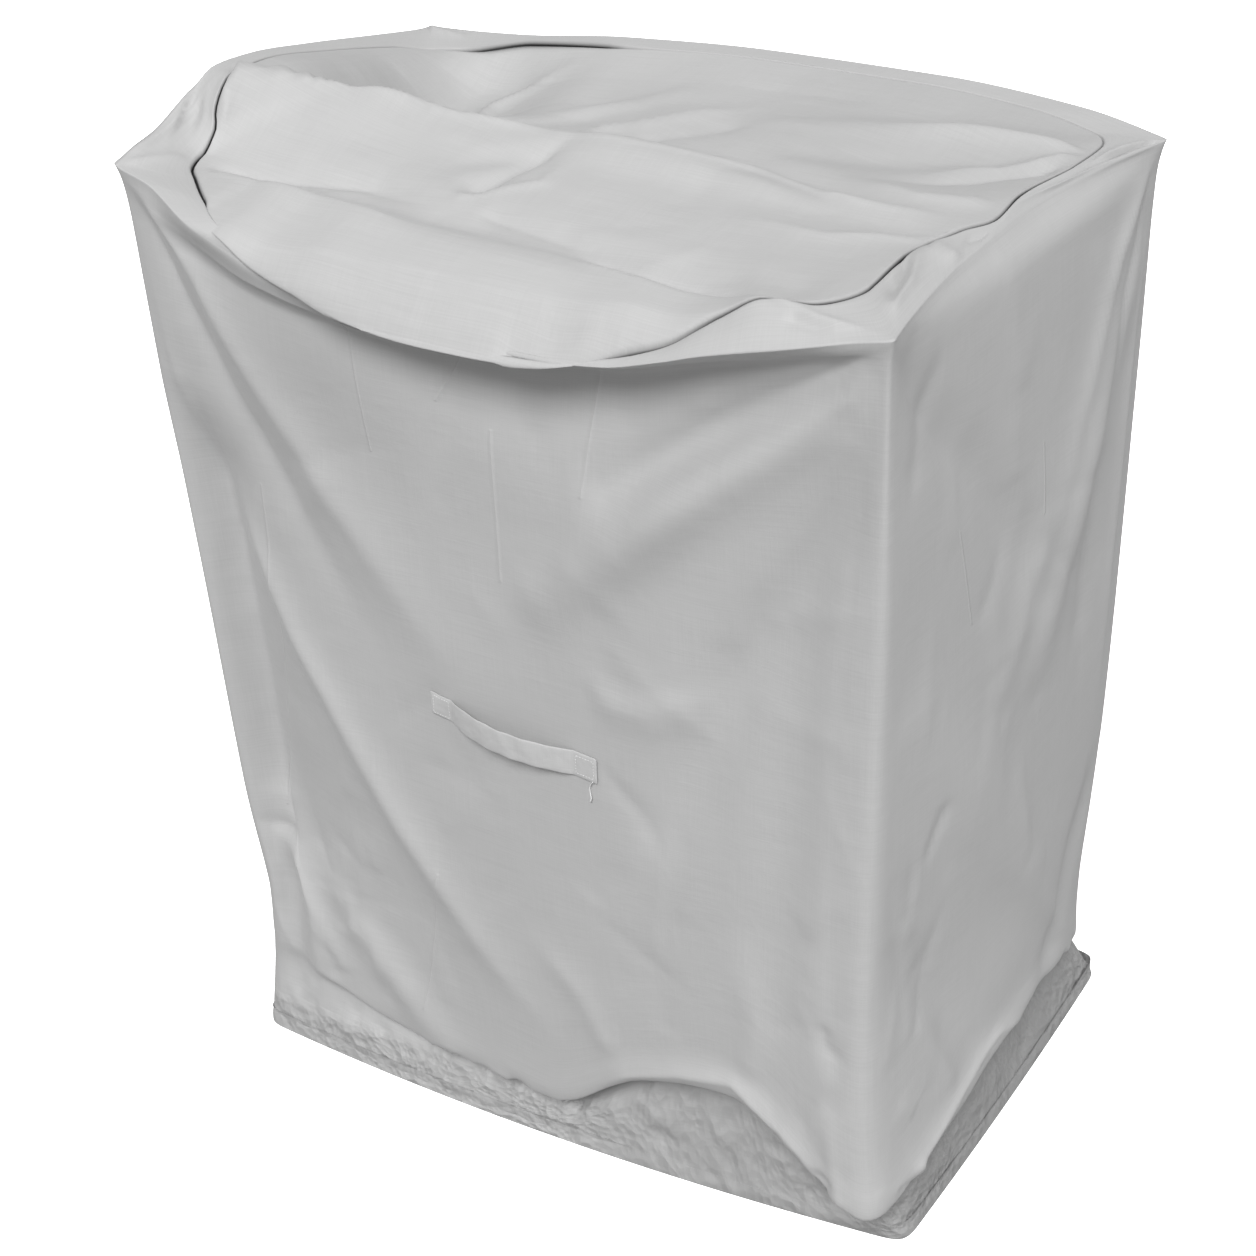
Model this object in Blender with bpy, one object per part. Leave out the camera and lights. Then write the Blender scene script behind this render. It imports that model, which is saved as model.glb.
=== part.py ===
"""Fitted cover for a floor-standing wood chipper: coated silver-grey polyester, open at the bottom.

Three sewn pieces: a sleeve that goes once round the machine, a top panel with rounded corners, and a pull
strap on the front.  The cloth hangs slack from the four top corners of what it covers, so the front of the
top rolls out over the sleeve and the foot of the sleeve billows over its own hem.

Frame: metres, +Z up, the front faces -Y, +X is to the right seen from the front, the floor is Z = 0.
Places round the sleeve are given in metres along its nominal girth, from the front left corner: the front
runs from 0 to 0.90, the right side to 1.46, the back to 2.36 and the left side to 2.92.
"""
import bpy
import bmesh
import numpy as np
from mathutils import Vector
from mathutils.bvhtree import BVHTree

PART_NAME = "wood_chipper_cover"

# Driving dimensions
FRONT_WIDTH = 0.90
SIDE_DEPTH = 0.56
GIRTH = 2 * (FRONT_WIDTH + SIDE_DEPTH)
CLOTH = 0.0016
SEAM_GAP = 0.0003
BOX_MIDDLE = (-0.004, -0.018)

# Where the four corner folds stand round the girth
CORNER_STATIONS = (0.0, FRONT_WIDTH, FRONT_WIDTH + SIDE_DEPTH, 2 * FRONT_WIDTH + SIDE_DEPTH)

# The seam between the sleeve and the top panel: station, x, y, z
SEAM = (
    (0.000, -0.385, -0.252, 1.099),
    (0.050, -0.344, -0.287, 1.095),
    (0.110, -0.300, -0.316, 1.086),
    (0.190, -0.250, -0.322, 1.060),
    (0.270, -0.192, -0.330, 1.045),
    (0.340, -0.128, -0.337, 1.036),
    (0.440, -0.025, -0.342, 1.032),
    (0.550, 0.102, -0.340, 1.033),
    (0.610, 0.155, -0.335, 1.038),
    (0.680, 0.224, -0.322, 1.056),
    (0.740, 0.276, -0.300, 1.088),
    (0.780, 0.315, -0.286, 1.108),
    (0.830, 0.360, -0.275, 1.106),
    (0.900, 0.390, -0.228, 1.108),
    (0.980, 0.388, -0.155, 1.112),
    (1.050, 0.407, -0.078, 1.112),
    (1.120, 0.422, -0.023, 1.108),
    (1.180, 0.420, 0.030, 1.112),
    (1.300, 0.430, 0.138, 1.108),
    (1.400, 0.428, 0.206, 1.105),
    (1.460, 0.412, 0.238, 1.105),
    (1.560, 0.330, 0.256, 1.116),
    (1.700, 0.200, 0.262, 1.124),
    (1.910, 0.000, 0.262, 1.126),
    (2.100, -0.190, 0.260, 1.118),
    (2.210, -0.310, 0.260, 1.108),
    (2.290, -0.376, 0.238, 1.098),
    (2.360, -0.430, 0.228, 1.094),
    (2.430, -0.452, 0.180, 1.108),
    (2.550, -0.455, 0.060, 1.138),
    (2.660, -0.450, -0.055, 1.162),
    (2.720, -0.440, -0.120, 1.166),
    (2.770, -0.425, -0.168, 1.143),
    (2.800, -0.418, -0.181, 1.124),
    (2.830, -0.419, -0.203, 1.104),
    (2.870, -0.412, -0.225, 1.101),
)

# The edge that the sleeve folds over, from the front left corner round: station, x, y, z
TOP_EDGE = (
    (0.000, -0.458, -0.285, 1.117),
    (0.050, -0.408, -0.298, 1.104),
    (0.120, -0.322, -0.328, 1.078),
    (0.200, -0.250, -0.328, 1.052),
    (0.340, -0.128, -0.341, 1.030),
    (0.440, -0.025, -0.346, 1.026),
    (0.550, 0.102, -0.346, 1.027),
    (0.620, 0.168, -0.343, 1.032),
    (0.690, 0.232, -0.340, 1.048),
    (0.730, 0.273, -0.335, 1.060),
    (0.800, 0.350, -0.322, 1.076),
    (0.860, 0.409, -0.304, 1.087),
    (0.900, 0.445, -0.290, 1.093),
    (1.060, 0.433, -0.129, 1.102),
    (1.200, 0.431, 0.009, 1.102),
    (1.360, 0.449, 0.168, 1.099),
    (1.460, 0.470, 0.265, 1.098),
    (1.550, 0.380, 0.284, 1.114),
    (1.700, 0.210, 0.290, 1.126),
    (1.910, 0.000, 0.292, 1.127),
    (2.100, -0.190, 0.290, 1.120),
    (2.250, -0.340, 0.287, 1.106),
    (2.360, -0.472, 0.281, 1.100),
    (2.460, -0.475, 0.180, 1.120),
    (2.580, -0.478, 0.060, 1.144),
    (2.690, -0.474, -0.050, 1.164),
    (2.745, -0.472, -0.105, 1.168),
    (2.800, -0.470, -0.160, 1.151),
    (2.860, -0.466, -0.220, 1.129),
)

# Level outlines of the sleeve below its edge.  Each corner is an (x, y) place; a bow is how far a side
# stands out at its middle from the straight line between its corners, and round sizes the corner folds.
LEVELS = (
    # front left, front right, back right, back left; then the bows front, right, back, left; then round
    ("shoulder", (-0.455, -0.285), (0.443, -0.293), (0.466, 0.270), (-0.469, 0.281),
     (-0.012, 0.000, 0.010, 0.006), 0.008),
    ("chest", (-0.449, -0.286), (0.443, -0.299), (0.458, 0.276), (-0.462, 0.279),
     (0.008, 0.010, 0.018, 0.012), 0.012),
    ("middle", (-0.439, -0.286), (0.440, -0.311), (0.450, 0.278), (-0.452, 0.277),
     (0.012, 0.012, 0.020, 0.014), 0.016),
    ("low", (-0.428, -0.287), (0.437, -0.324), (0.440, 0.275), (-0.443, 0.275),
     (0.010, 0.016, 0.018, 0.014), 0.020),
    ("ankle", (-0.413, -0.287), (0.441, -0.331), (0.426, 0.270), (-0.432, 0.272),
     (0.006, 0.026, 0.016, 0.012), 0.022),
    ("billow", (-0.413, -0.289), (0.445, -0.331), (0.422, 0.270), (-0.430, 0.272),
     (0.000, 0.026, 0.016, 0.010), 0.020),
    ("tuck", (-0.416, -0.288), (0.436, -0.292), (0.424, 0.270), (-0.428, 0.270),
     (-0.002, 0.006, 0.010, 0.006), 0.018),
    ("hem", (-0.424, -0.298), (0.448, -0.258), (0.440, 0.290), (-0.430, 0.275),
     (0.024, 0.004, 0.014, 0.008), 0.014),
)

# How high each level lies round the girth: station, then a height for each level but the hem, which is at 0
LEVEL_HEIGHTS = (
    # station, shoulder, chest, middle, low, ankle, billow, tuck
    (0.00, 1.060, 0.85, 0.60, 0.35, 0.20, 0.135, 0.105),
    (0.20, 1.005, 0.85, 0.60, 0.35, 0.18, 0.085, 0.066),
    (0.45, 0.985, 0.85, 0.60, 0.35, 0.18, 0.070, 0.052),
    (0.60, 0.995, 0.85, 0.60, 0.36, 0.24, 0.165, 0.140),
    (0.72, 1.025, 0.85, 0.60, 0.38, 0.27, 0.190, 0.162),
    (0.90, 1.060, 0.85, 0.60, 0.35, 0.18, 0.085, 0.062),
    (1.05, 1.065, 0.85, 0.60, 0.35, 0.20, 0.118, 0.096),
    (1.20, 1.065, 0.85, 0.60, 0.35, 0.21, 0.138, 0.116),
    (1.35, 1.062, 0.85, 0.60, 0.35, 0.19, 0.110, 0.090),
    (1.46, 1.060, 0.85, 0.60, 0.35, 0.17, 0.080, 0.060),
    (1.70, 1.080, 0.85, 0.60, 0.35, 0.18, 0.090, 0.070),
    (2.00, 1.080, 0.85, 0.60, 0.36, 0.20, 0.115, 0.095),
    (2.36, 1.060, 0.85, 0.60, 0.35, 0.18, 0.095, 0.074),
    (2.65, 1.110, 0.86, 0.60, 0.35, 0.18, 0.090, 0.070),
)

# Heights of the top panel: a row for each section from front to back, at its x, and a column for each y
TOP_DEPTHS = (-0.33, -0.295, -0.25, -0.19, -0.09, -0.03, 0.03, 0.12, 0.19, 0.26)
TOP_SECTIONS = (
    (-0.43, (1.100, 1.103, 1.104, 1.112, 1.158, 1.156, 1.140, 1.114, 1.106, 1.100)),
    (-0.32, (1.085, 1.104, 1.108, 1.108, 1.148, 1.092, 1.068, 1.062, 1.074, 1.104)),
    (-0.16, (1.050, 1.095, 1.106, 1.105, 1.128, 1.110, 1.098, 1.096, 1.104, 1.116)),
    (0.00, (1.040, 1.088, 1.102, 1.104, 1.126, 1.124, 1.120, 1.116, 1.118, 1.126)),
    (0.15, (1.042, 1.086, 1.098, 1.102, 1.120, 1.124, 1.124, 1.120, 1.120, 1.124)),
    (0.28, (1.080, 1.094, 1.098, 1.103, 1.114, 1.115, 1.114, 1.114, 1.114, 1.116)),
    (0.42, (1.106, 1.106, 1.106, 1.110, 1.112, 1.111, 1.110, 1.108, 1.106, 1.105)),
)

# Soft folds of the sleeve: station and height of both ends, width to each side, height out of the cloth
SLEEVE_FOLDS = (
    # from, to, width, out
    ((0.10, 1.02), (0.42, 0.98), 0.110, 0.034),
    ((0.01, 1.10), (0.46, 0.50), 0.022, 0.022),
    ((0.06, 1.10), (0.44, 0.44), 0.030, -0.022),
    ((0.05, 0.86), (0.54, 0.16), 0.042, -0.022),
    ((0.00, 0.84), (0.36, 0.28), 0.028, 0.012),
    ((0.22, 0.50), (0.52, 0.12), 0.034, 0.010),
    ((0.89, 1.08), (0.52, 0.74), 0.032, 0.020),
    ((0.88, 1.05), (0.60, 0.88), 0.026, -0.020),
    ((0.87, 0.98), (0.66, 0.52), 0.040, -0.018),
    ((0.86, 0.92), (0.84, 0.20), 0.022, 0.012),
    ((0.82, 0.94), (0.78, 0.24), 0.030, -0.010),
    ((0.06, 0.33), (0.10, 0.07), 0.016, 0.014),
    ((0.03, 0.30), (0.05, 0.08), 0.014, -0.010),
    ((0.12, 0.26), (0.30, 0.08), 0.030, 0.010),
    ((0.94, 1.05), (1.22, 0.68), 0.034, -0.012),
    ((0.98, 0.66), (1.30, 0.24), 0.045, 0.012),
    ((0.96, 0.40), (1.12, 0.16), 0.036, -0.010),
    ((1.43, 1.04), (1.22, 0.60), 0.034, 0.012),
    ((1.44, 0.34), (1.28, 0.12), 0.030, -0.010),
    ((1.50, 1.07), (1.86, 0.58), 0.034, 0.018),
    ((1.49, 1.00), (1.74, 0.46), 0.036, -0.016),
    ((2.32, 1.05), (1.98, 0.60), 0.036, 0.018),
    ((2.33, 0.96), (2.10, 0.38), 0.034, -0.016),
    ((1.58, 0.40), (1.72, 0.12), 0.040, -0.012),
    ((1.84, 0.48), (1.94, 0.14), 0.045, 0.014),
    ((2.28, 0.36), (2.14, 0.12), 0.036, 0.012),
    ((2.40, 1.06), (2.66, 0.56), 0.034, 0.014),
    ((2.88, 1.04), (2.64, 0.52), 0.034, -0.014),
    ((2.46, 0.40), (2.56, 0.12), 0.036, 0.012),
    ((2.84, 0.40), (2.72, 0.14), 0.034, 0.012),
)

# Soft folds of the top panel: plan place of both ends, width to each side, height
TOP_FOLDS = (
    ((-0.42, -0.205), (0.32, -0.250), 0.028, -0.012),
    ((-0.44, -0.115), (-0.26, -0.090), 0.030, 0.008),
    ((-0.30, -0.085), (-0.10, -0.078), 0.030, 0.006),
    ((-0.26, -0.060), (-0.04, 0.150), 0.022, 0.010),
    ((-0.06, -0.060), (0.34, -0.075), 0.022, 0.010),
    ((-0.14, -0.130), (-0.04, -0.060), 0.018, -0.006),
    ((0.44, 0.200), (0.10, 0.080), 0.028, 0.009),
    ((0.42, 0.120), (0.14, 0.010), 0.024, -0.007),
    ((0.38, -0.110), (0.10, 0.000), 0.026, -0.008),
)

# Sampling: the sleeve and the top panel share their stations along the seam.  Rows of the sleeve are counted
# from the seam at 0 over the edge at 1 to the hem, and lie closer together at the edge and at the foot.
FRONT_STEPS = 20
SIDE_FRACTIONS = (0.0, 0.03, 0.07, 0.13, 0.20, 0.28, 0.36, 0.45, 0.54, 0.63, 0.72, 0.81, 0.89, 0.95)
SLEEVE_ROWS = (0.0, 0.5, 1.0, 1.25, 1.6, 2.0, 2.5, 3.0, 3.35, 3.7, 4.0, 4.35, 4.7, 5.0, 5.35, 5.7, 6.0,
               6.5, 7.0, 7.2, 7.4, 7.7, 8.0)
LEVEL_ROWS = (2.0, 3.0, 4.0, 5.0, 6.0, 7.0, 7.4, 8.0)

# The top panel is made of rings that shrink from its seam at 1 to a straight spine at 0
TOP_RINGS = (1.0, 0.975, 0.94, 0.895, 0.84, 0.77, 0.68, 0.57, 0.43, 0.26, 0.0)
SPINE_REACH = 0.24
SPINE_Y = -0.03

# The front of the top rolls out past the seam by this much, over this share of the way to the spine
ROLL_OUT = 0.010
ROLL_SHARE = 0.22

# The pull strap on the front
STRAP_MIDDLE = (0.014, 0.563)
STRAP_LENGTH = 0.200
STRAP_HEIGHT = 0.030
STRAP_DROP = 0.020
STRAP_SEWN = 0.030
STRAP_BOW = 0.014
STRAP_THICKNESS = 0.0024
STRAP_GAP = 0.0006


def slopes(knots, values):
    """Slope at each knot: the harmonic mean of the slopes beside it, or zero where they change sign."""
    shape = (-1,) + (1,) * (values.ndim - 1)
    rises = np.diff(values, axis=0) / np.diff(knots).reshape(shape)
    before, after = rises[:-1], rises[1:]
    same_way = before * after > 0
    total = np.where(same_way, before + after, 1.0)
    inner = np.where(same_way, 2 * before * after / total, 0.0)
    return np.concatenate([rises[:1], inner, rises[-1:]])


def smooth_through(knots, values, at):
    """Smooth curve without overshoot through values at knots, read at the places in at."""
    knots = np.asarray(knots, float)
    values = np.asarray(values, float)
    at = np.clip(np.asarray(at, float), knots[0], knots[-1])
    slope = slopes(knots, values)
    k = np.clip(np.searchsorted(knots, at, side="right") - 1, 0, len(knots) - 2)
    shape = (-1,) + (1,) * (values.ndim - 1)
    width = (knots[k + 1] - knots[k]).reshape(shape)
    t = ((at - knots[k]) / (knots[k + 1] - knots[k])).reshape(shape)
    start, end = values[k], values[k + 1]
    return (start * (2 * t**3 - 3 * t**2 + 1) + end * (3 * t**2 - 2 * t**3)
            + width * slope[k] * (t**3 - 2 * t**2 + t) + width * slope[k + 1] * (t**3 - t**2))


def round_the_girth(table, stations):
    """Read a table whose rows start with a station, as a closed curve round the girth."""
    rows = np.asarray(table, float)
    before, after = rows[-3:].copy(), rows[:3].copy()
    before[:, 0] -= GIRTH
    after[:, 0] += GIRTH
    rows = np.concatenate([before, rows, after])
    return smooth_through(rows[:, 0], rows[:, 1:], np.mod(stations, GIRTH))


def sharp_level(level, stations):
    """Outline of one level: straight sides between its corners, each bowed by a parabola."""
    corners = np.array(level[1:5])
    bows = np.array(level[5])
    stations = np.mod(stations, GIRTH)
    starts = np.array(CORNER_STATIONS + (GIRTH,))
    side = np.clip(np.searchsorted(starts, stations, side="right") - 1, 0, 3)
    s = (stations - starts[side]) / (starts[side + 1] - starts[side])
    first, last = corners[side], corners[(side + 1) % 4]
    along = last - first
    outward = np.stack([along[:, 1], -along[:, 0]], axis=1)
    outward /= np.linalg.norm(outward, axis=1, keepdims=True)
    bow = (4 * s * (1 - s) * bows[side])[:, None]
    return first + along * s[:, None] + outward * bow


def level_outline(level, stations):
    """A level's outline with rounded corner folds: the mean of the sharp outline over a short stretch."""
    reach = level[6]
    weights = np.array((1, 2, 3, 2, 1)) / 9
    return sum(w * sharp_level(level, stations + reach * k) for w, k in zip(weights, (-2, -1, 0, 1, 2)))


def fold_height(a, b, folds):
    """Sum of soft folds at places (a, b): a bell across each fold's line, fading towards both ends."""
    total = np.zeros_like(a)
    for start, end, width, out in folds:
        da, db = end[0] - start[0], end[1] - start[1]
        length = np.hypot(da, db)
        along = ((a - start[0]) * da + (b - start[1]) * db) / length**2
        across = ((a - start[0]) * db - (b - start[1]) * da) / length
        inside = np.clip(along, 0, 1)
        past = (along - inside) * length
        fade = np.sin(np.pi * np.clip(0.12 + 0.76 * inside, 0, 1))
        total += out * fade * np.exp(-(across**2 + past**2) / width**2)
    return total


def mean_direction(grid, axis, closed):
    """At each point, the mean of the unit steps to it and away from it along one axis of a grid."""
    step = np.roll(grid, -1, axis=axis) - grid
    step /= np.maximum(np.linalg.norm(step, axis=2, keepdims=True), 1e-9)
    before = np.roll(step, 1, axis=axis)
    if not closed:
        before, step = before.swapaxes(0, axis), step.swapaxes(0, axis)
        before[0] = step[0]
        step[-1] = before[-1]
        before, step = before.swapaxes(0, axis), step.swapaxes(0, axis)
    return (before + step) / 2


def surface_normals(grid):
    """Normals of a grid of points whose columns close on themselves.

    A normal is longer where the cloth turns, so that both its faces stay one thickness apart there.
    """
    along = mean_direction(grid, 1, closed=True)
    down = mean_direction(grid, 0, closed=False)
    normal = np.cross(down, along)
    normal /= np.maximum(np.linalg.norm(normal, axis=2, keepdims=True), 1e-9)
    turn = np.linalg.norm(along, axis=2) * np.linalg.norm(down, axis=2)
    return normal / np.clip(turn, 0.65, 1.0)[:, :, None]


def sleeve_surface(stations, rows):
    """Outer face of the sleeve: rows go from the seam at 0, over the edge at 1, down to the hem."""
    level_heights = round_the_girth(LEVEL_HEIGHTS, stations)
    level_heights = np.column_stack([level_heights, np.zeros(len(stations))])
    rings = [round_the_girth(SEAM, stations), round_the_girth(TOP_EDGE, stations)]
    for number, level in enumerate(LEVELS):
        plan = level_outline(level, stations)
        height = level_heights[:, number]
        rings.append(np.column_stack([plan, height]))
    rings = np.stack(rings)
    grid = smooth_through((0.0, 1.0) + LEVEL_ROWS, rings, rows)
    girth_places = np.broadcast_to(stations, grid.shape[:2])
    heights = grid[:, :, 2]
    out = fold_height(girth_places, heights, SLEEVE_FOLDS)
    out += fold_height(girth_places - GIRTH, heights, SLEEVE_FOLDS)
    below_edge = np.clip((np.asarray(rows) - 1.0) / 0.6, 0, 1)[:, None]
    above_hem = np.clip(heights / 0.05, 0, 1)
    normal = surface_normals(grid)
    normal[:, :, 2] = 0
    normal /= np.maximum(np.linalg.norm(normal, axis=2, keepdims=True), 1e-9)
    grid += normal * (out * below_edge * above_hem)[:, :, None]
    grid[:, :, 0] -= BOX_MIDDLE[0]
    grid[:, :, 1] -= BOX_MIDDLE[1]
    return grid


def girth_stations():
    """Stations round the girth, drawn towards both ends of each side where the corner folds are."""
    even = np.arange(FRONT_STEPS) / FRONT_STEPS
    across = even - 0.55 * np.sin(2 * np.pi * even) / (2 * np.pi)
    backwards = np.array(SIDE_FRACTIONS)
    forwards = 1 - np.append(backwards, 1.0)[:0:-1]
    sides = (across, backwards, across, forwards)
    ends = CORNER_STATIONS + (GIRTH,)
    return np.concatenate([a + (b - a) * part for a, b, part in zip(ends[:-1], ends[1:], sides)])


def table_height(x, y):
    """Height of the top panel at a plan place, smooth through its table along y and then along x."""
    along_y = smooth_through(TOP_DEPTHS, np.array([row[1] for row in TOP_SECTIONS]).T, y.ravel())
    section_x = np.array([row[0] for row in TOP_SECTIONS])
    places = np.clip(x.ravel(), section_x[0], section_x[-1])
    k = np.clip(np.searchsorted(section_x, places, side="right") - 1, 0, len(section_x) - 2)
    t = (places - section_x[k]) / (section_x[k + 1] - section_x[k])
    eased = t * t * (3 - 2 * t)
    pick = np.arange(len(places))
    return (along_y[pick, k] * (1 - eased) + along_y[pick, k + 1] * eased).reshape(x.shape)


def spine_places(stations):
    """Where the rings of the top panel shrink to: front and back along the spine, the sides to its ends."""
    front = (0.0, FRONT_WIDTH)
    back = (CORNER_STATIONS[2], CORNER_STATIONS[3])
    reach = np.interp(stations, (*front, *back), (-SPINE_REACH, SPINE_REACH, SPINE_REACH, -SPINE_REACH))
    return np.column_stack([reach, np.full(len(stations), SPINE_Y)])


def top_surface(seam, stations, rings):
    """Outer face of the top panel: rings from the seam to the spine, their heights read from the table."""
    share = np.asarray(rings)[:, None, None]
    middle = np.array(BOX_MIDDLE)
    plan = share * (seam[None, :, :2] + middle) + (1 - share) * spine_places(stations)[None]
    x, y = plan[:, :, 0], plan[:, :, 1]
    height = table_height(x, y) + fold_height(x, y, TOP_FOLDS)
    height += (seam[None, :, 2] - height[0]) * share[:, :, 0] ** 4
    way_in = np.clip((1 - share[:, :, 0]) / ROLL_SHARE, 0, 1)
    at_front = np.sin(np.pi * np.clip(stations / FRONT_WIDTH, 0, 1)) ** 0.5
    y = y - ROLL_OUT * np.sin(np.pi * way_in**0.7) * at_front[None]
    return np.stack([x - middle[0], y - middle[1], height], axis=-1)


def add_body(name, outer, inner, index, rims, collection, colour, roughness):
    """Close two skins of one grid into a solid body: an outer face, an inner face and a wall at each rim."""
    points = np.concatenate([outer.reshape(-1, 3), inner.reshape(-1, 3)])
    skin = points.shape[0] // 2
    outside = skin_triangles(index)
    faces = [outside, outside[:, ::-1] + skin]
    for rim in rims:
        a, b = rim[:-1], rim[1:]
        faces += [np.stack([a, b, b + skin], axis=-1), np.stack([a, b + skin, a + skin], axis=-1)]
    mesh = bpy.data.meshes.new(name)
    mesh.from_pydata(points.tolist(), [], np.concatenate(faces).tolist())
    drop_loose_points(mesh)
    mesh.materials.append(cloth_material(name + "_cloth", colour, roughness))
    mesh.shade_smooth()
    mesh.set_sharp_from_angle(angle=np.radians(50))
    body = bpy.data.objects.new(name, mesh)
    collection.objects.link(body)
    return body


def drop_loose_points(mesh):
    """Take out the points that no face uses."""
    work = bmesh.new()
    work.from_mesh(mesh)
    bmesh.ops.delete(work, geom=[v for v in work.verts if not v.link_faces], context="VERTS")
    work.to_mesh(mesh)
    work.free()


def cloth_material(name, colour, roughness):
    """Plain coated cloth of one colour."""
    material = bpy.data.materials.new(name)
    material.use_nodes = True
    shader = material.node_tree.nodes["Principled BSDF"]
    shader.inputs["Base Color"].default_value = (*colour, 1.0)
    shader.inputs["Roughness"].default_value = roughness
    shader.inputs["Metallic"].default_value = 0.0
    material.diffuse_color = (*colour, 1.0)
    return material


def seam_directions(sleeve, top):
    """At each seam station: the shared direction of the cloth's thickness, and the way across the seam."""
    rim = sleeve[0]
    tangent = np.roll(rim, -1, axis=0) - np.roll(rim, 1, axis=0)
    tangent /= np.linalg.norm(tangent, axis=1, keepdims=True)
    thickness = surface_normals(sleeve)[0] + surface_normals(top[::-1])[-1]
    thickness -= tangent * np.sum(thickness * tangent, axis=1, keepdims=True)
    thickness /= np.linalg.norm(thickness, axis=1, keepdims=True)
    across = np.cross(thickness, tangent)
    return thickness, across


def make_cloth(collection):
    """The sleeve and the top panel, parted by a hair along the seam that joins them."""
    stations = girth_stations()
    sleeve = sleeve_surface(stations, SLEEVE_ROWS)
    top = top_surface(sleeve[0], stations, TOP_RINGS)
    thickness, across = seam_directions(sleeve, top)

    sleeve_normals = surface_normals(sleeve)
    sleeve_normals[0] = thickness
    sleeve_normals[-1, :, 2] = 0
    sleeve_normals[-1] /= np.linalg.norm(sleeve_normals[-1], axis=1, keepdims=True)
    sleeve_index = closed_index(*sleeve.shape[:2])
    sleeve_body = add_body("side_sleeve", sleeve, sleeve - CLOTH * sleeve_normals, sleeve_index,
                           (sleeve_index[0], sleeve_index[-1, ::-1]), collection, (0.46, 0.46, 0.47), 0.62)

    top_normals = surface_normals(top[::-1])[::-1]
    top_normals[0] = thickness
    top_normals[-1] = (0, 0, 1)
    top[0] += across * SEAM_GAP
    top_index = closed_index(*top.shape[:2])
    top_index[-1] = top_index[-1, 0] + np.append(spine_numbers(), 0)
    add_body("top_panel", top, top - CLOTH * top_normals, top_index[::-1],
             (top_index[0, ::-1],), collection, (0.50, 0.50, 0.51), 0.60)
    return sleeve_body


def closed_index(rows, columns):
    """Point numbers of a grid whose last column joins its first."""
    index = np.arange(rows * columns).reshape(rows, columns)
    return np.concatenate([index, index[:, :1]], axis=1)


def spine_numbers():
    """Which point of the spine each station ends on, so that the front and the back share them."""
    along = np.arange(FRONT_STEPS)
    side_steps = len(SIDE_FRACTIONS)
    return np.concatenate([along, np.full(side_steps, FRONT_STEPS), FRONT_STEPS - along,
                           np.zeros(side_steps, int)])


def skin_triangles(index):
    """Two triangles for each cell of a grid of point numbers, leaving out those with no width."""
    a, b, c, d = index[:-1, :-1], index[1:, :-1], index[1:, 1:], index[:-1, 1:]
    triangles = np.concatenate([np.stack([a, b, c], axis=-1).reshape(-1, 3),
                                np.stack([a, c, d], axis=-1).reshape(-1, 3)])
    wide = ((triangles[:, 0] != triangles[:, 1]) & (triangles[:, 1] != triangles[:, 2])
            & (triangles[:, 2] != triangles[:, 0]))
    return triangles[wide]


def make_strap(sleeve_body, collection):
    """The pull strap: sewn down at both ends, bowed out in between, and a little lower at its right end."""
    half = STRAP_LENGTH / 2
    along = np.concatenate([np.linspace(-half, -half + STRAP_SEWN, 3),
                            np.linspace(-half + STRAP_SEWN, half - STRAP_SEWN, 9)[1:-1],
                            np.linspace(half - STRAP_SEWN, half, 3)])
    across = np.linspace(-STRAP_HEIGHT / 2, STRAP_HEIGHT / 2, 4)
    x = STRAP_MIDDLE[0] + np.broadcast_to(along, (4, len(along)))
    z = STRAP_MIDDLE[1] + across[:, None] - STRAP_DROP * (along / STRAP_LENGTH)[None, :]
    front = nearest_front(sleeve_body, x, z)
    free = half - STRAP_SEWN
    lift = np.sin(np.pi / 2 * np.clip((free - np.abs(along)) / free, 0, 1)) ** 0.8
    y = (1 - lift) * front + lift * (front.min() - STRAP_BOW) - STRAP_GAP
    inner = np.stack([x, y, z], axis=-1)[::-1]
    outer = inner - np.array((0.0, STRAP_THICKNESS, 0.0))
    index = np.arange(x.size).reshape(x.shape)
    rims = (index[0], index[:, -1], index[-1, ::-1], index[::-1, 0])
    add_body("pull_strap", outer, inner, index, rims, collection, (0.52, 0.52, 0.53), 0.66)


def nearest_front(body, x, z):
    """How far forward the outer face of a body reaches at each place of its front."""
    mesh = body.data
    tree = BVHTree.FromPolygons([v.co for v in mesh.vertices], [p.vertices for p in mesh.polygons])
    reach = np.empty(x.shape)
    for place, (px, pz) in zip(np.ndindex(x.shape), zip(x.ravel(), z.ravel())):
        reach[place] = tree.ray_cast(Vector((px, -1.0, pz)), Vector((0.0, 1.0, 0.0)))[0].y
    return reach


def main():
    for old in list(bpy.data.objects):
        bpy.data.objects.remove(old, do_unlink=True)
    collection = bpy.data.collections.new(PART_NAME)
    bpy.context.scene.collection.children.link(collection)
    sleeve_body = make_cloth(collection)
    make_strap(sleeve_body, collection)


main()
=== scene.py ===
# %% [markdown]
# # A fitted cloth cover for a wood chipper
# The cover is a bag of coated silver-grey polyester, pulled over a garden machine and open at the
# bottom. It has three sewn pieces: a sleeve that goes once round the machine, a top panel with rounded
# corners, and a pull strap. Everything here is in metres, with the floor at Z = 0 and the front at -Y.
# The script starts from the finished CAD solids, which fix every size, and gives them a fine surface.

# %% The frame
import math

import bpy
import numpy as np
from mathutils import Matrix, Vector
from mathutils.bvhtree import BVHTree


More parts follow.
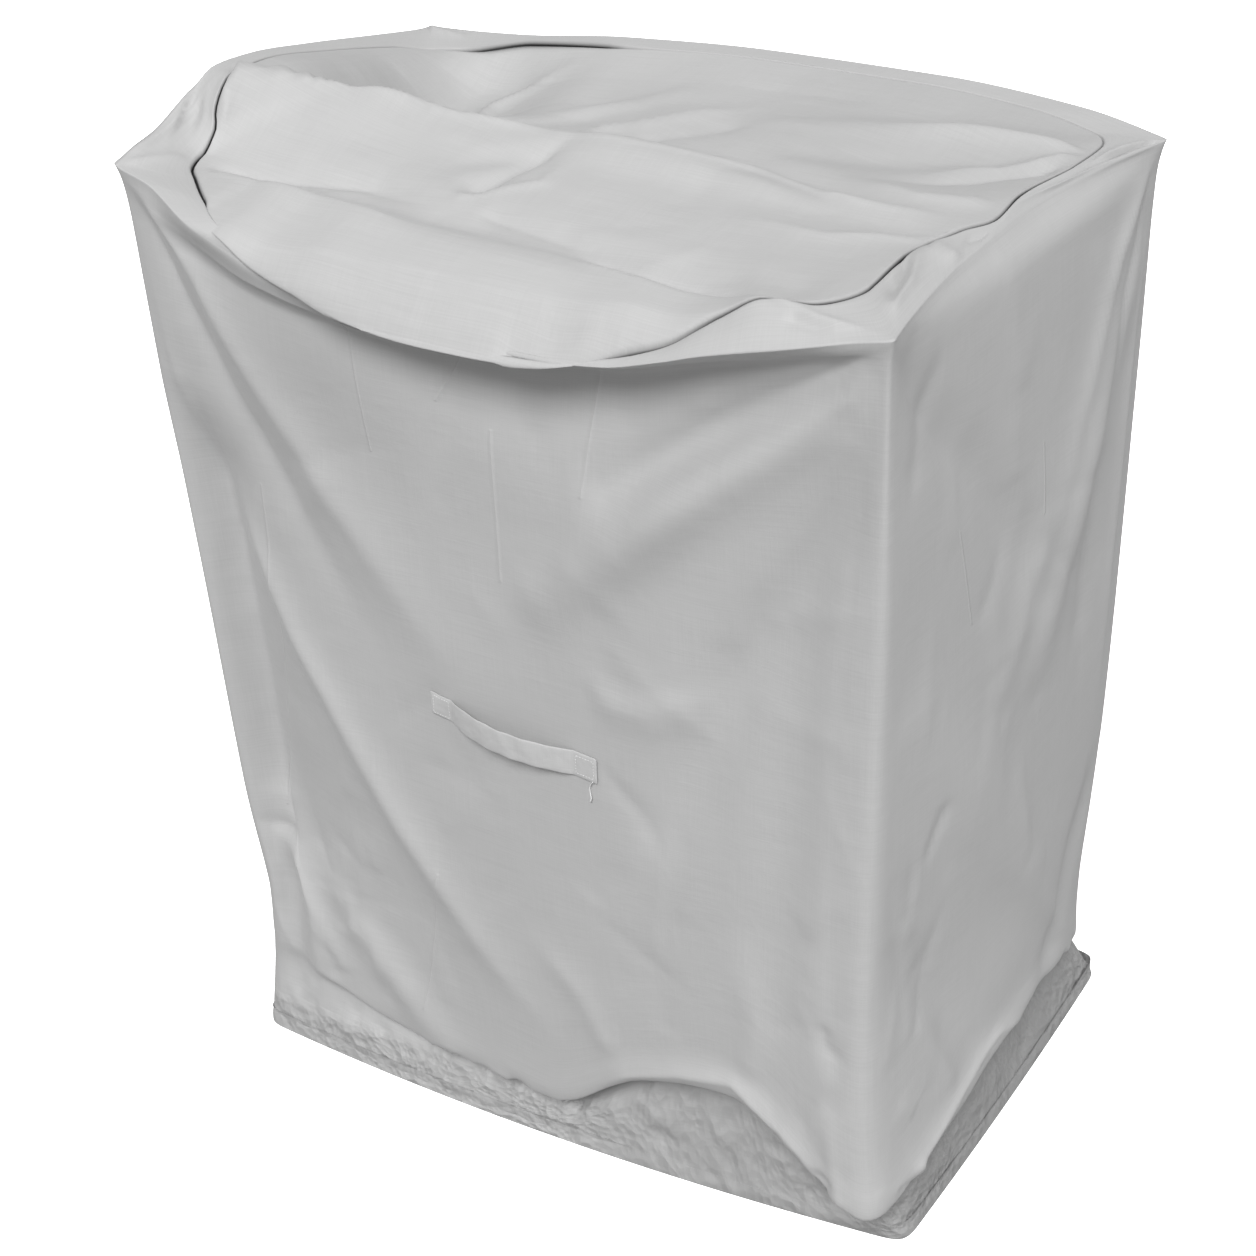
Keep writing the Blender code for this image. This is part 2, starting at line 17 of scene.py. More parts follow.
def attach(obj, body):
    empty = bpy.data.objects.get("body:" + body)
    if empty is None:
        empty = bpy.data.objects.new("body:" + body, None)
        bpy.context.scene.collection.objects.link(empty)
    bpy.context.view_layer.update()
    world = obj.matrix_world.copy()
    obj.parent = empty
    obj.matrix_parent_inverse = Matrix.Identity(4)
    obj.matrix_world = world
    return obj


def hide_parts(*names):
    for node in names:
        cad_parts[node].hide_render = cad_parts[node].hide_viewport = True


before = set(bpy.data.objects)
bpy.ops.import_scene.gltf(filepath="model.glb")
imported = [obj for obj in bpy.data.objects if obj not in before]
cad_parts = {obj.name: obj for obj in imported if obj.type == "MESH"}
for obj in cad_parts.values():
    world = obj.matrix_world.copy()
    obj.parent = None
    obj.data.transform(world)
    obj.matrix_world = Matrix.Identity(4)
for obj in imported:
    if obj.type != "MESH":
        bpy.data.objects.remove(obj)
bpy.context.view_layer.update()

# %% [markdown]
# ## The camera
# The photograph looks down on the front right corner with a fairly long lens. A camera is easiest to
# build from what it looks at: a target, a distance and three angles. The rows of the turn are the
# camera's own right, up and backward directions, so its transpose is the camera's rotation.

# %% The camera
CAMERA_YAW = math.radians(33.85)
CAMERA_PITCH = math.radians(30.15)
CAMERA_ROLL = math.radians(-3.28)
CAMERA_DISTANCE = 2.915
CAMERA_TARGET = np.array((-0.0411, 0.018, 0.5181))
LENS_MM = 71.66

backward = np.array((math.sin(CAMERA_YAW) * math.cos(CAMERA_PITCH),
                     -math.cos(CAMERA_YAW) * math.cos(CAMERA_PITCH),
                     math.sin(CAMERA_PITCH)))
level_right = np.cross((0, 0, 1), backward)
level_right /= np.linalg.norm(level_right)
level_up = np.cross(backward, level_right)
camera_right = math.cos(CAMERA_ROLL) * level_right + math.sin(CAMERA_ROLL) * level_up
camera_up = math.cos(CAMERA_ROLL) * level_up - math.sin(CAMERA_ROLL) * level_right
camera_place = np.eye(4)
camera_place[:3, 0] = camera_right
camera_place[:3, 1] = camera_up
camera_place[:3, 2] = backward
camera_place[:3, 3] = CAMERA_TARGET + CAMERA_DISTANCE * backward

camera = bpy.data.objects.new("camera", bpy.data.cameras.new("camera"))
camera.data.lens = LENS_MM
camera.data.sensor_width = 36
camera.matrix_world = Matrix(camera_place.tolist())
bpy.context.scene.collection.objects.link(camera)
bpy.context.scene.camera = camera
print("camera at", camera_place[:3, 3].round(3))

# %% [markdown]
# ## The studio
# A product picture on white needs a pale floor, an even white surrounding and one broad soft light.
# Here the broad light comes from the front and above, so the cloth that rolls over the front edge is
# brightest, then come the top and the front, and the right side is darkest, with a weak fill of its
# own. A sun lamp with a wide angle gives soft shadows, and lights the floor evenly, which an area lamp
# doesn't. A white floor throws so much light back up that the undersides of the folds lose their shade,
# so this one is white to the camera, where it also glows a little, and darker to the light that bounces
# off it: a Light Path node tells the two apart.

# %% The studio
SKY_STRENGTH = 0.48
SUN_STRENGTH = 2.85
SUN_ANGLE = math.radians(24)
SUN_FROM = (0.30, -0.92, 1.02)
FILL_STRENGTH = 0.75
FILL_FROM = (1.0, -0.1, 0.45)
FLOOR_BOUNCE = 0.31

world = bpy.data.worlds.new("studio")
world.use_nodes = True
world.node_tree.nodes["Background"].inputs["Color"].default_value = (1.0, 1.0, 1.0, 1.0)
world.node_tree.nodes["Background"].inputs["Strength"].default_value = SKY_STRENGTH
bpy.context.scene.world = world
bpy.context.scene.view_settings.view_transform = "Standard"


def add_sun(name, strength, angle, direction):
    """A sun lamp whose light comes from a direction: its own Z axis is turned to point there."""
    sun = bpy.data.objects.new(name, bpy.data.lights.new(name, "SUN"))
    sun.data.energy = strength
    sun.data.angle = angle
    sun.rotation_euler = Vector(direction).to_track_quat("Z", "Y").to_euler()
    bpy.context.scene.collection.objects.link(sun)


add_sun("soft_sun", SUN_STRENGTH, SUN_ANGLE, SUN_FROM)
add_sun("right_fill", FILL_STRENGTH, SUN_ANGLE, FILL_FROM)

floor_mesh = bpy.data.meshes.new("floor")
floor_mesh.from_pydata([(-20, -20, -0.0005), (20, -20, -0.0005), (20, 20, -0.0005), (-20, 20, -0.0005)],
                       [], [(0, 1, 2, 3)])
floor = bpy.data.objects.new("floor", floor_mesh)
bpy.context.scene.collection.objects.link(floor)
floor_material = bpy.data.materials.new("pale_floor")
floor_material.use_nodes = True
floor_shader = floor_material.node_tree.nodes["Principled BSDF"]
floor_shader.inputs["Roughness"].default_value = 0.9
floor_shader.inputs["Specular IOR Level"].default_value = 0.1
floor_tone = floor_material.node_tree.nodes.new("ShaderNodeMix")
floor_tone.data_type = "RGBA"
floor_tone.inputs["A"].default_value = (FLOOR_BOUNCE, FLOOR_BOUNCE, FLOOR_BOUNCE, 1.0)
floor_tone.inputs["B"].default_value = (0.95, 0.95, 0.95, 1.0)
light_path = floor_material.node_tree.nodes.new("ShaderNodeLightPath")
floor_material.node_tree.links.new(light_path.outputs["Is Camera Ray"], floor_tone.inputs["Factor"])
floor_material.node_tree.links.new(floor_tone.outputs["Result"], floor_shader.inputs["Base Color"])
floor_shader.inputs["Emission Color"].default_value = (1.0, 1.0, 1.0, 1.0)
floor_material.node_tree.links.new(light_path.outputs["Is Camera Ray"], floor_shader.inputs["Emission Strength"])
floor_mesh.materials.append(floor_material)
print("sun strength", SUN_STRENGTH, "sky strength", SKY_STRENGTH)

# %% [markdown]
# ## Smooth curves through a few values
# The whole cover is drawn from short tables: where the seam runs, where the top edge runs and how the
# sleeve is shaped at a few levels. A smooth curve joins the values of a table. The monotone cubic is
# the right kind here, because it never swings past its values the way an ordinary spline does, so a
# flat stretch stays flat and a sharp corner doesn't ripple.

# %% Smooth curves
def slopes(knots, values):
    """Slope at each knot: the harmonic mean of the slopes beside it, or zero where they change sign."""
    shape = (-1,) + (1,) * (values.ndim - 1)
    rises = np.diff(values, axis=0) / np.diff(knots).reshape(shape)
    before, after = rises[:-1], rises[1:]
    same_way = before * after > 0
    total = np.where(same_way, before + after, 1.0)
    inner = np.where(same_way, 2 * before * after / total, 0.0)
    return np.concatenate([rises[:1], inner, rises[-1:]])


def smooth_through(knots, values, at):
    """Cubic pieces that meet the values and slopes at the knots, read at the places in at."""
    knots = np.asarray(knots, float)
    values = np.asarray(values, float)
    at = np.clip(np.asarray(at, float), knots[0], knots[-1])
    slope = slopes(knots, values)
    k = np.clip(np.searchsorted(knots, at, side="right") - 1, 0, len(knots) - 2)
    shape = (-1,) + (1,) * (values.ndim - 1)
    width = (knots[k + 1] - knots[k]).reshape(shape)
    t = ((at - knots[k]) / (knots[k + 1] - knots[k])).reshape(shape)
    start, end = values[k], values[k + 1]
    return (start * (2 * t**3 - 3 * t**2 + 1) + end * (3 * t**2 - 2 * t**3)
            + width * slope[k] * (t**3 - 2 * t**2 + t) + width * slope[k + 1] * (t**3 - t**2))


def smooth_step(t):
    """Rises from 0 to 1 as t does, level at both ends: t squared times (3 - 2t)."""
    t = np.clip(t, 0, 1)
    return t * t * (3 - 2 * t)


print("halfway between 0, 0, 1, 1:", smooth_through((0, 1, 2, 3), (0, 0, 1, 1), [1.5]))

# %% [markdown]
# ## The tables of the cover
# A place round the sleeve is given in metres along its girth, from the front left corner: the front
# runs from 0 to 0.90, the right side to 1.46, the back to 2.36 and the left side to 2.92. The CAD
# solids were drawn from these same tables, so the fine cloth lies where they do.

# %% The tables of the cover
FRONT_WIDTH = 0.90
SIDE_DEPTH = 0.56
GIRTH = 2 * (FRONT_WIDTH + SIDE_DEPTH)
CORNER_STATIONS = (0.0, FRONT_WIDTH, FRONT_WIDTH + SIDE_DEPTH, 2 * FRONT_WIDTH + SIDE_DEPTH)
BOX_MIDDLE = np.array((-0.004, -0.018, 0.0))

# station, x, y, z of the seam between sleeve and top panel
SEAM = (
    (0.000, -0.385, -0.252, 1.099), (0.050, -0.344, -0.287, 1.095), (0.110, -0.300, -0.316, 1.086),
    (0.190, -0.250, -0.322, 1.060), (0.270, -0.192, -0.330, 1.045), (0.340, -0.128, -0.337, 1.036),
    (0.440, -0.025, -0.342, 1.032), (0.550, 0.102, -0.340, 1.033), (0.610, 0.155, -0.335, 1.038),
    (0.680, 0.224, -0.322, 1.056), (0.740, 0.276, -0.300, 1.088), (0.780, 0.315, -0.286, 1.108),
    (0.830, 0.360, -0.275, 1.106), (0.900, 0.390, -0.228, 1.108), (0.980, 0.388, -0.155, 1.112),
    (1.050, 0.407, -0.078, 1.112), (1.120, 0.422, -0.023, 1.108), (1.180, 0.420, 0.030, 1.112),
    (1.300, 0.430, 0.138, 1.108), (1.400, 0.428, 0.206, 1.105), (1.460, 0.412, 0.238, 1.105),
    (1.560, 0.330, 0.256, 1.116), (1.700, 0.200, 0.262, 1.124), (1.910, 0.000, 0.262, 1.126),
    (2.100, -0.190, 0.260, 1.118), (2.210, -0.310, 0.260, 1.108), (2.290, -0.376, 0.238, 1.098),
    (2.360, -0.430, 0.228, 1.094), (2.430, -0.452, 0.180, 1.108), (2.550, -0.455, 0.060, 1.138),
    (2.660, -0.450, -0.055, 1.162), (2.720, -0.440, -0.120, 1.166), (2.770, -0.425, -0.168, 1.143),
    (2.800, -0.418, -0.181, 1.124), (2.830, -0.419, -0.203, 1.104), (2.870, -0.412, -0.225, 1.101),
)

# station, x, y, z of the edge that the sleeve folds over
TOP_EDGE = (
    (0.000, -0.458, -0.285, 1.117), (0.050, -0.408, -0.298, 1.104), (0.120, -0.322, -0.328, 1.078),
    (0.200, -0.250, -0.328, 1.052), (0.340, -0.128, -0.341, 1.030), (0.440, -0.025, -0.346, 1.026),
    (0.550, 0.102, -0.346, 1.027), (0.620, 0.168, -0.343, 1.032), (0.690, 0.232, -0.340, 1.048),
    (0.730, 0.273, -0.335, 1.060), (0.800, 0.350, -0.322, 1.076), (0.860, 0.409, -0.304, 1.087),
    (0.900, 0.445, -0.290, 1.093), (1.060, 0.433, -0.129, 1.102), (1.200, 0.431, 0.009, 1.102),
    (1.360, 0.449, 0.168, 1.099), (1.460, 0.470, 0.265, 1.098), (1.550, 0.380, 0.284, 1.114),
    (1.700, 0.210, 0.290, 1.126), (1.910, 0.000, 0.292, 1.127), (2.100, -0.190, 0.290, 1.120),
    (2.250, -0.340, 0.287, 1.106), (2.360, -0.472, 0.281, 1.100), (2.460, -0.475, 0.180, 1.120),
    (2.580, -0.478, 0.060, 1.144), (2.690, -0.474, -0.050, 1.164), (2.745, -0.472, -0.105, 1.168),
    (2.800, -0.470, -0.160, 1.151), (2.860, -0.466, -0.220, 1.129),
)

# level, its corners front left, front right, back right, back left, the bows of its sides, and round
LEVELS = (
    ("shoulder", (-0.455, -0.285), (0.443, -0.293), (0.466, 0.270), (-0.469, 0.281),
     (-0.012, 0.000, 0.010, 0.006), 0.003),
    ("chest", (-0.449, -0.286), (0.443, -0.299), (0.458, 0.276), (-0.462, 0.279),
     (0.008, 0.010, 0.018, 0.012), 0.007),
    ("middle", (-0.439, -0.286), (0.440, -0.311), (0.450, 0.278), (-0.452, 0.277),
     (0.012, 0.012, 0.020, 0.014), 0.012),
    ("low", (-0.428, -0.287), (0.437, -0.324), (0.440, 0.275), (-0.443, 0.275),
     (0.010, 0.016, 0.018, 0.014), 0.016),
    ("ankle", (-0.413, -0.287), (0.441, -0.331), (0.426, 0.270), (-0.432, 0.272),
     (0.006, 0.026, 0.016, 0.012), 0.022),
    ("billow", (-0.413, -0.289), (0.445, -0.331), (0.422, 0.270), (-0.430, 0.272),
     (0.000, 0.026, 0.016, 0.010), 0.020),
    ("tuck", (-0.416, -0.288), (0.436, -0.292), (0.424, 0.270), (-0.428, 0.270),
     (-0.002, 0.006, 0.010, 0.006), 0.018),
    ("hem", (-0.424, -0.298), (0.448, -0.258), (0.440, 0.290), (-0.430, 0.275),
     (0.024, 0.004, 0.014, 0.008), 0.014),
)

# station, then the height of shoulder, chest, middle, low, ankle, billow and tuck there
LEVEL_HEIGHTS = (
    (0.00, 1.060, 0.85, 0.60, 0.35, 0.20, 0.135, 0.105), (0.20, 1.005, 0.85, 0.60, 0.35, 0.18, 0.085, 0.066),
    (0.45, 0.985, 0.85, 0.60, 0.35, 0.18, 0.070, 0.052), (0.60, 0.995, 0.85, 0.60, 0.36, 0.24, 0.165, 0.140),
    (0.72, 1.025, 0.85, 0.60, 0.38, 0.27, 0.190, 0.162), (0.90, 1.060, 0.85, 0.60, 0.35, 0.18, 0.085, 0.062),
    (1.05, 1.065, 0.85, 0.60, 0.35, 0.20, 0.118, 0.096), (1.20, 1.065, 0.85, 0.60, 0.35, 0.21, 0.138, 0.116),
    (1.35, 1.062, 0.85, 0.60, 0.35, 0.19, 0.110, 0.090), (1.46, 1.060, 0.85, 0.60, 0.35, 0.17, 0.080, 0.060),
    (1.70, 1.080, 0.85, 0.60, 0.35, 0.18, 0.090, 0.070), (2.00, 1.080, 0.85, 0.60, 0.36, 0.20, 0.115, 0.095),
    (2.36, 1.060, 0.85, 0.60, 0.35, 0.18, 0.095, 0.074), (2.65, 1.110, 0.86, 0.60, 0.35, 0.18, 0.090, 0.070),
)
LEVEL_ROWS = (2.0, 3.0, 4.0, 5.0, 6.0, 7.0, 7.4, 8.0)


def round_the_girth(table, stations):
    """Read a table whose rows start with a station, as a closed curve round the girth."""
    rows = np.asarray(table, float)
    before, after = rows[-3:].copy(), rows[:3].copy()
    before[:, 0] -= GIRTH
    after[:, 0] += GIRTH
    rows = np.concatenate([before, rows, after])
    return smooth_through(rows[:, 0], rows[:, 1:], np.mod(stations, GIRTH))


print("girth", GIRTH, "m; the seam has", len(SEAM), "places and the sleeve", len(LEVELS), "levels")

# %% [markdown]
# ## Folds as paths
# A fold is a path drawn on the flat cloth, with a width, a height and a softness. Real folds that start
# at a corner are narrow and sharp there and grow wide and shallow further on, so a path has one width
# at its start and another at its end. A small softness gives a crease, a large one a rolling fold.

# %% Folds as paths
def path_place(a, b, path):
    """Distance of each place (a, b) to the nearest straight piece of a path, and its share along it."""
    points = np.asarray(path, float)
    steps = np.diff(points, axis=0)
    lengths = np.hypot(steps[:, 0], steps[:, 1])
    starts = np.concatenate([[0.0], np.cumsum(lengths)[:-1]])
    nearest = np.full(a.shape, np.inf)
    share = np.zeros(a.shape)
    for point, step, length, start in zip(points[:-1], steps, lengths, starts):
        along = np.clip(((a - point[0]) * step[0] + (b - point[1]) * step[1]) / length**2, 0, 1)
        distance = np.hypot(a - point[0] - along * step[0], b - point[1] - along * step[1])
        closer = distance < nearest
        nearest = np.where(closer, distance, nearest)
        share = np.where(closer, (start + along * length) / lengths.sum(), share)
    return nearest, share


def fold_profile(distance, width, soft):
    """Height across a fold: exp(-(sqrt(d*d + s*s) - s) / w), with s the width times the softness."""
    blunt = width * soft
    return np.exp(-(np.sqrt(distance**2 + blunt**2) - blunt) / width)


def folds_at(a, b, folds):
    """Sum of folds at places (a, b): each rises over the first part of its path and fades over the last."""
    total = np.zeros(a.shape)
    for path, start_width, end_width, out, soft in folds:
        points = np.asarray(path, float)
        reach = 5 * max(start_width, end_width)
        low, high = points.min(axis=0) - reach, points.max(axis=0) + reach
        near = (a > low[0]) & (a < high[0]) & (b > low[1]) & (b < high[1])
        if not near.any():
            continue
        distance, share = path_place(a[near], b[near], path)
        width = start_width + (end_width - start_width) * share
        fade = smooth_step(share / 0.18 + 0.12) * smooth_step((1 - share) / 0.45 + 0.02)
        total[near] += out * fade * fold_profile(distance, width, soft)
    return total


def scattered_folds(seed, count, along_girth, heights, lengths, width, out, lean, spread):
    """Short straight folds at seeded random places; lean is their usual angle from level, in degrees."""
    draw = np.random.default_rng(seed)
    a = draw.uniform(*along_girth, count)
    b = draw.uniform(*heights, count)
    half = draw.uniform(*lengths, count) / 2
    angle = np.radians(lean + spread * draw.standard_normal(count))
    size = out * draw.uniform(0.4, 1.0, count) * draw.choice((-1, 1), count)
    wide = width * draw.uniform(0.7, 1.4, count)
    da, db = half * np.cos(angle), half * np.sin(angle)
    return [(((a[k] - da[k], b[k] - db[k]), (a[k] + da[k], b[k] + db[k])), wide[k], wide[k], size[k], 0.6)
            for k in range(count)]


print("height of a fold one width from its path:", fold_profile(np.array([0.01]), 0.01, 0.5).round(2))

# %% [markdown]
# ## The folds of the sleeve
# The broad folds are the CAD's own. The creases on top of them follow the picture: they run down from
# the two front corners, where the machine pushes the cloth out, and meet in a swag at the strap. Low on
# the front, the cloth sags over its own skirt. Small wrinkles gather at the skirt, where the hem's
# stitches draw the cloth together. They are scattered with a fixed seed, so every run is the same.

# %% The folds of the sleeve
BROAD_FOLDS = (
    # from (station, height) to (station, height), width, out
    ((0.10, 1.02), (0.42, 0.98), 0.110, 0.034),
    ((0.89, 1.08), (0.52, 0.74), 0.036, 0.018), ((0.88, 1.05), (0.60, 0.88), 0.026, -0.020),
    ((0.87, 0.98), (0.66, 0.52), 0.044, -0.018), ((0.86, 0.92), (0.84, 0.20), 0.020, 0.003),
    ((0.82, 0.94), (0.78, 0.24), 0.034, -0.006), ((0.06, 0.33), (0.10, 0.07), 0.022, 0.010),
    ((0.03, 0.30), (0.05, 0.08), 0.018, -0.006), ((0.12, 0.26), (0.30, 0.08), 0.030, 0.010),
    ((0.94, 1.05), (1.22, 0.68), 0.034, -0.012), ((0.98, 0.66), (1.30, 0.24), 0.045, 0.012),
    ((0.96, 0.40), (1.12, 0.16), 0.036, -0.010), ((1.43, 1.04), (1.22, 0.60), 0.034, 0.012),
    ((1.44, 0.34), (1.28, 0.12), 0.030, -0.010), ((1.50, 1.07), (1.86, 0.58), 0.034, 0.018),
    ((1.49, 1.00), (1.74, 0.46), 0.036, -0.016), ((2.32, 1.05), (1.98, 0.60), 0.036, 0.018),
    ((2.33, 0.96), (2.10, 0.38), 0.034, -0.016), ((1.58, 0.40), (1.72, 0.12), 0.040, -0.012),
    ((1.84, 0.48), (1.94, 0.14), 0.045, 0.014), ((2.28, 0.36), (2.14, 0.12), 0.036, 0.012),
    ((2.40, 1.06), (2.66, 0.56), 0.034, 0.014), ((2.88, 1.04), (2.64, 0.52), 0.034, -0.014),
    ((2.46, 0.40), (2.56, 0.12), 0.036, 0.012), ((2.84, 0.40), (2.72, 0.14), 0.034, 0.012),
)

CREASES = (
    # path of (station, height), width at its start, width at its end, out, softness
    # from the front left corner
    (((0.010, 1.108), (0.060, 1.066), (0.150, 0.929), (0.240, 0.790), (0.364, 0.646), (0.444, 0.535)),
     0.008, 0.055, 0.0130, 0.35),
    (((0.012, 1.095), (0.045, 1.020), (0.110, 0.880), (0.200, 0.730), (0.300, 0.590)), 0.007, 0.034, -0.0110, 0.45),
    (((0.006, 1.100), (0.012, 1.027), (0.025, 0.915), (0.060, 0.700)), 0.005, 0.016, 0.0050, 0.40),
    # the broad hollow low on the left: the cloth falls back below an oblique line
    (((0.030, 0.880), (0.036, 0.620), (0.042, 0.420), (0.055, 0.230), (0.090, 0.060)), 0.030, 0.095, -0.0440, 0.60),
    (((0.070, 0.760), (0.150, 0.590), (0.275, 0.400), (0.400, 0.240), (0.500, 0.130)), 0.016, 0.030, 0.0140, 0.35),
    # from the front right corner
    (((0.898, 1.088), (0.854, 1.056), (0.764, 1.004), (0.694, 0.957), (0.604, 0.887)), 0.006, 0.026, -0.0070, 0.40),
    (((0.888, 1.080), (0.859, 1.026), (0.789, 0.971), (0.709, 0.919), (0.634, 0.845), (0.544, 0.753)),
     0.008, 0.034, 0.0080, 0.50),
    (((0.893, 1.082), (0.869, 1.000), (0.804, 0.870), (0.759, 0.748)), 0.006, 0.030, 0.0050, 0.40),
    (((0.893, 1.084), (0.872, 0.932), (0.856, 0.728), (0.852, 0.496), (0.860, 0.245), (0.880, 0.083)),
     0.010, 0.014, -0.0030, 0.80),
    # round the strap
    (((0.560, 0.640), (0.629, 0.638), (0.739, 0.688)), 0.012, 0.030, 0.0050, 0.60),
    (((0.575, 0.560), (0.624, 0.510), (0.660, 0.450)), 0.004, 0.010, -0.0025, 0.40),
    (((0.365, 0.600), (0.330, 0.560), (0.270, 0.520)), 0.006, 0.012, -0.0020, 0.40),
    # low on the front
    (((0.020, 0.300), (0.012, 0.184), (0.065, 0.076)), 0.006, 0.010, 0.0060, 0.30),
    (((0.024, 0.292), (0.065, 0.250), (0.155, 0.093)), 0.008, 0.020, 0.0060, 0.50),
    (((0.005, 0.300), (0.060, 0.286)), 0.006, 0.006, -0.0060, 0.40),
    (((0.530, 0.120), (0.574, 0.159), (0.649, 0.192), (0.724, 0.212), (0.809, 0.150), (0.869, 0.040)),
     0.008, 0.010, 0.0060, 0.30),
    (((0.560, 0.170), (0.520, 0.250), (0.440, 0.320)), 0.010, 0.024, 0.0045, 0.50),
    (((0.845, 0.330), (0.849, 0.300), (0.885, 0.285)), 0.007, 0.012, -0.0045, 0.40),
    (((0.740, 0.215), (0.760, 0.300), (0.740, 0.420)), 0.010, 0.030, 0.0040, 0.60),
    (((0.869, 0.040), (0.850, 0.140), (0.850, 0.240)), 0.006, 0.016, 0.0040, 0.40),
    # right side
    (((1.453, 1.095), (1.363, 1.000), (1.248, 0.778), (1.128, 0.606), (1.038, 0.416)), 0.006, 0.040, 0.0070, 0.40),
    (((1.447, 1.082), (1.378, 0.951), (1.338, 0.663), (1.343, 0.399)), 0.005, 0.024, -0.0050, 0.40),
    (((0.906, 1.080), (0.960, 1.000), (1.080, 0.860)), 0.005, 0.022, -0.0035, 0.40),
    (((1.455, 1.080), (1.425, 0.900), (1.405, 0.620), (1.410, 0.360)), 0.006, 0.018, 0.0050, 0.35),
    (((1.025, 0.545), (1.013, 0.520), (0.985, 0.475)), 0.006, 0.010, -0.0040, 0.30),
    (((1.413, 0.094), (1.300, 0.220), (1.138, 0.403), (0.983, 0.594)), 0.010, 0.030, 0.0045, 0.50),
    (((0.938, 0.091), (1.063, 0.141), (1.158, 0.158), (1.308, 0.092), (1.418, 0.060)), 0.006, 0.006, 0.0035, 0.30),
    (((1.060, 0.150), (1.010, 0.260), (0.960, 0.340)), 0.008, 0.022, 0.0040, 0.50),
    # back and left side
    (((1.475, 1.090), (1.560, 0.960), (1.720, 0.780)), 0.006, 0.024, 0.0060, 0.40),
    (((2.350, 1.090), (2.260, 0.940), (2.100, 0.760)), 0.006, 0.024, 0.0060, 0.40),
    (((2.370, 1.090), (2.440, 0.960), (2.560, 0.760)), 0.006, 0.022, 0.0055, 0.40),
    (((2.905, 1.110), (2.850, 0.960), (2.740, 0.740)), 0.006, 0.022, 0.0055, 0.40),
    (((2.740, 1.150), (2.700, 1.000), (2.690, 0.820)), 0.008, 0.020, 0.0050, 0.40),
)

# Creases of the band between the seam and the top edge.  The second number is the distance from the seam,
# in a band taken as 60 mm wide all round.
BAND_WIDTH = 0.060
BAND_CREASES = (
    # right end of the front
    (((0.779, 0.000), (0.814, 0.010), (0.844, 0.026), (0.893, 0.054)), 0.006, 0.005, 0.0050, 0.20),
    (((0.800, 0.020), (0.850, 0.042)), 0.006, 0.006, -0.0030, 0.40),
    # the tuck beside the front right corner
    (((1.012, 0.002), (0.975, 0.028), (0.930, 0.034), (0.890, 0.012)), 0.007, 0.008, 0.0070, 0.20),
    (((1.012, 0.002), (1.035, 0.030), (1.063, 0.056)), 0.006, 0.008, 0.0060, 0.20),
    (((0.985, 0.006), (0.950, 0.018), (0.910, 0.016)), 0.006, 0.006, -0.0060, 0.40),
    (((1.060, 0.020), (1.120, 0.036)), 0.006, 0.010, -0.0040, 0.40),
    # folds that leave the back right corner
    (((1.455, 0.054), (1.403, 0.046), (1.348, 0.045)), 0.005, 0.006, -0.0060, 0.30),
    (((1.452, 0.050), (1.400, 0.030), (1.330, 0.026)), 0.004, 0.008, 0.0050, 0.25),
    (((1.455, 0.058), (1.383, 0.056), (1.273, 0.040), (1.123, 0.006)), 0.005, 0.010, 0.0040, 0.25),
    # the corner cloth at the left
    (((2.812, 0.052), (2.805, 0.034), (2.800, 0.018)), 0.014, 0.014, -0.0110, 0.80),
    (((2.905, 0.058), (2.865, 0.052), (2.780, 0.038), (2.745, 0.030)), 0.005, 0.010, 0.0050, 0.25),
    (((2.915, 0.055), (2.890, 0.030), (2.855, 0.006)), 0.004, 0.008, 0.0040, 0.25),
    (((2.360, 0.055), (2.300, 0.030)), 0.006, 0.012, 0.0050, 0.30),
)

# Short dark tunnels along the line where the front sags onto the skirt
TUNNELS = tuple((((station, height), (station + 0.028, height - 0.004)), 0.008, 0.008, -0.0090, 0.40)
                for station, height in ((0.272, 0.060), (0.338, 0.056), (0.392, 0.064), (0.468, 0.050)))

skirt_wrinkles = (scattered_folds(11, 110, (0.02, 0.88), (0.028, 0.080), (0.02, 0.05), 0.0045, 0.0020, 70, 40)
                  + scattered_folds(12, 70, (0.56, 0.86), (0.040, 0.150), (0.03, 0.07), 0.0050, 0.0030, 50, 45)
                  + scattered_folds(13, 90, (0.92, 1.44), (0.028, 0.110), (0.03, 0.07), 0.0050, 0.0030, 80, 35)
                  + scattered_folds(14, 160, (1.48, 2.90), (0.028, 0.075), (0.02, 0.06), 0.0060, 0.0035, 80, 35))
wall_wrinkles = (scattered_folds(21, 60, (0.03, 0.88), (0.20, 1.00), (0.06, 0.22), 0.0110, 0.0018, 75, 50)
                 + scattered_folds(22, 40, (0.93, 1.43), (0.20, 1.04), (0.06, 0.22), 0.0120, 0.0022, 95, 30)
                 + scattered_folds(23, 60, (1.50, 2.88), (0.20, 1.04), (0.06, 0.22), 0.0150, 0.0020, 90, 40)
                 + scattered_folds(24, 24, (0.02, 0.26), (0.10, 0.36), (0.04, 0.10), 0.0080, 0.0020, 110, 30)
                 + scattered_folds(25, 26, (0.78, 1.02), (0.10, 0.50), (0.04, 0.12), 0.0080, 0.0020, 80, 30))
print(len(CREASES), "creases,", len(skirt_wrinkles), "wrinkles on the skirt and", len(wall_wrinkles), "on the walls")

# %% [markdown]
# ## The surface of the sleeve
# One grid covers the whole sleeve. Its columns are stations round the girth. Its rows run from the seam
# at 0, over the top edge at 1 and down the levels to the hem at 8. The rows lie close together at the
# seam and at the hem, where the cloth turns sharply, and the columns close together at the corners.

# %% The surface of the sleeve
SIDE_COLUMNS = (150, 92, 92, 62)


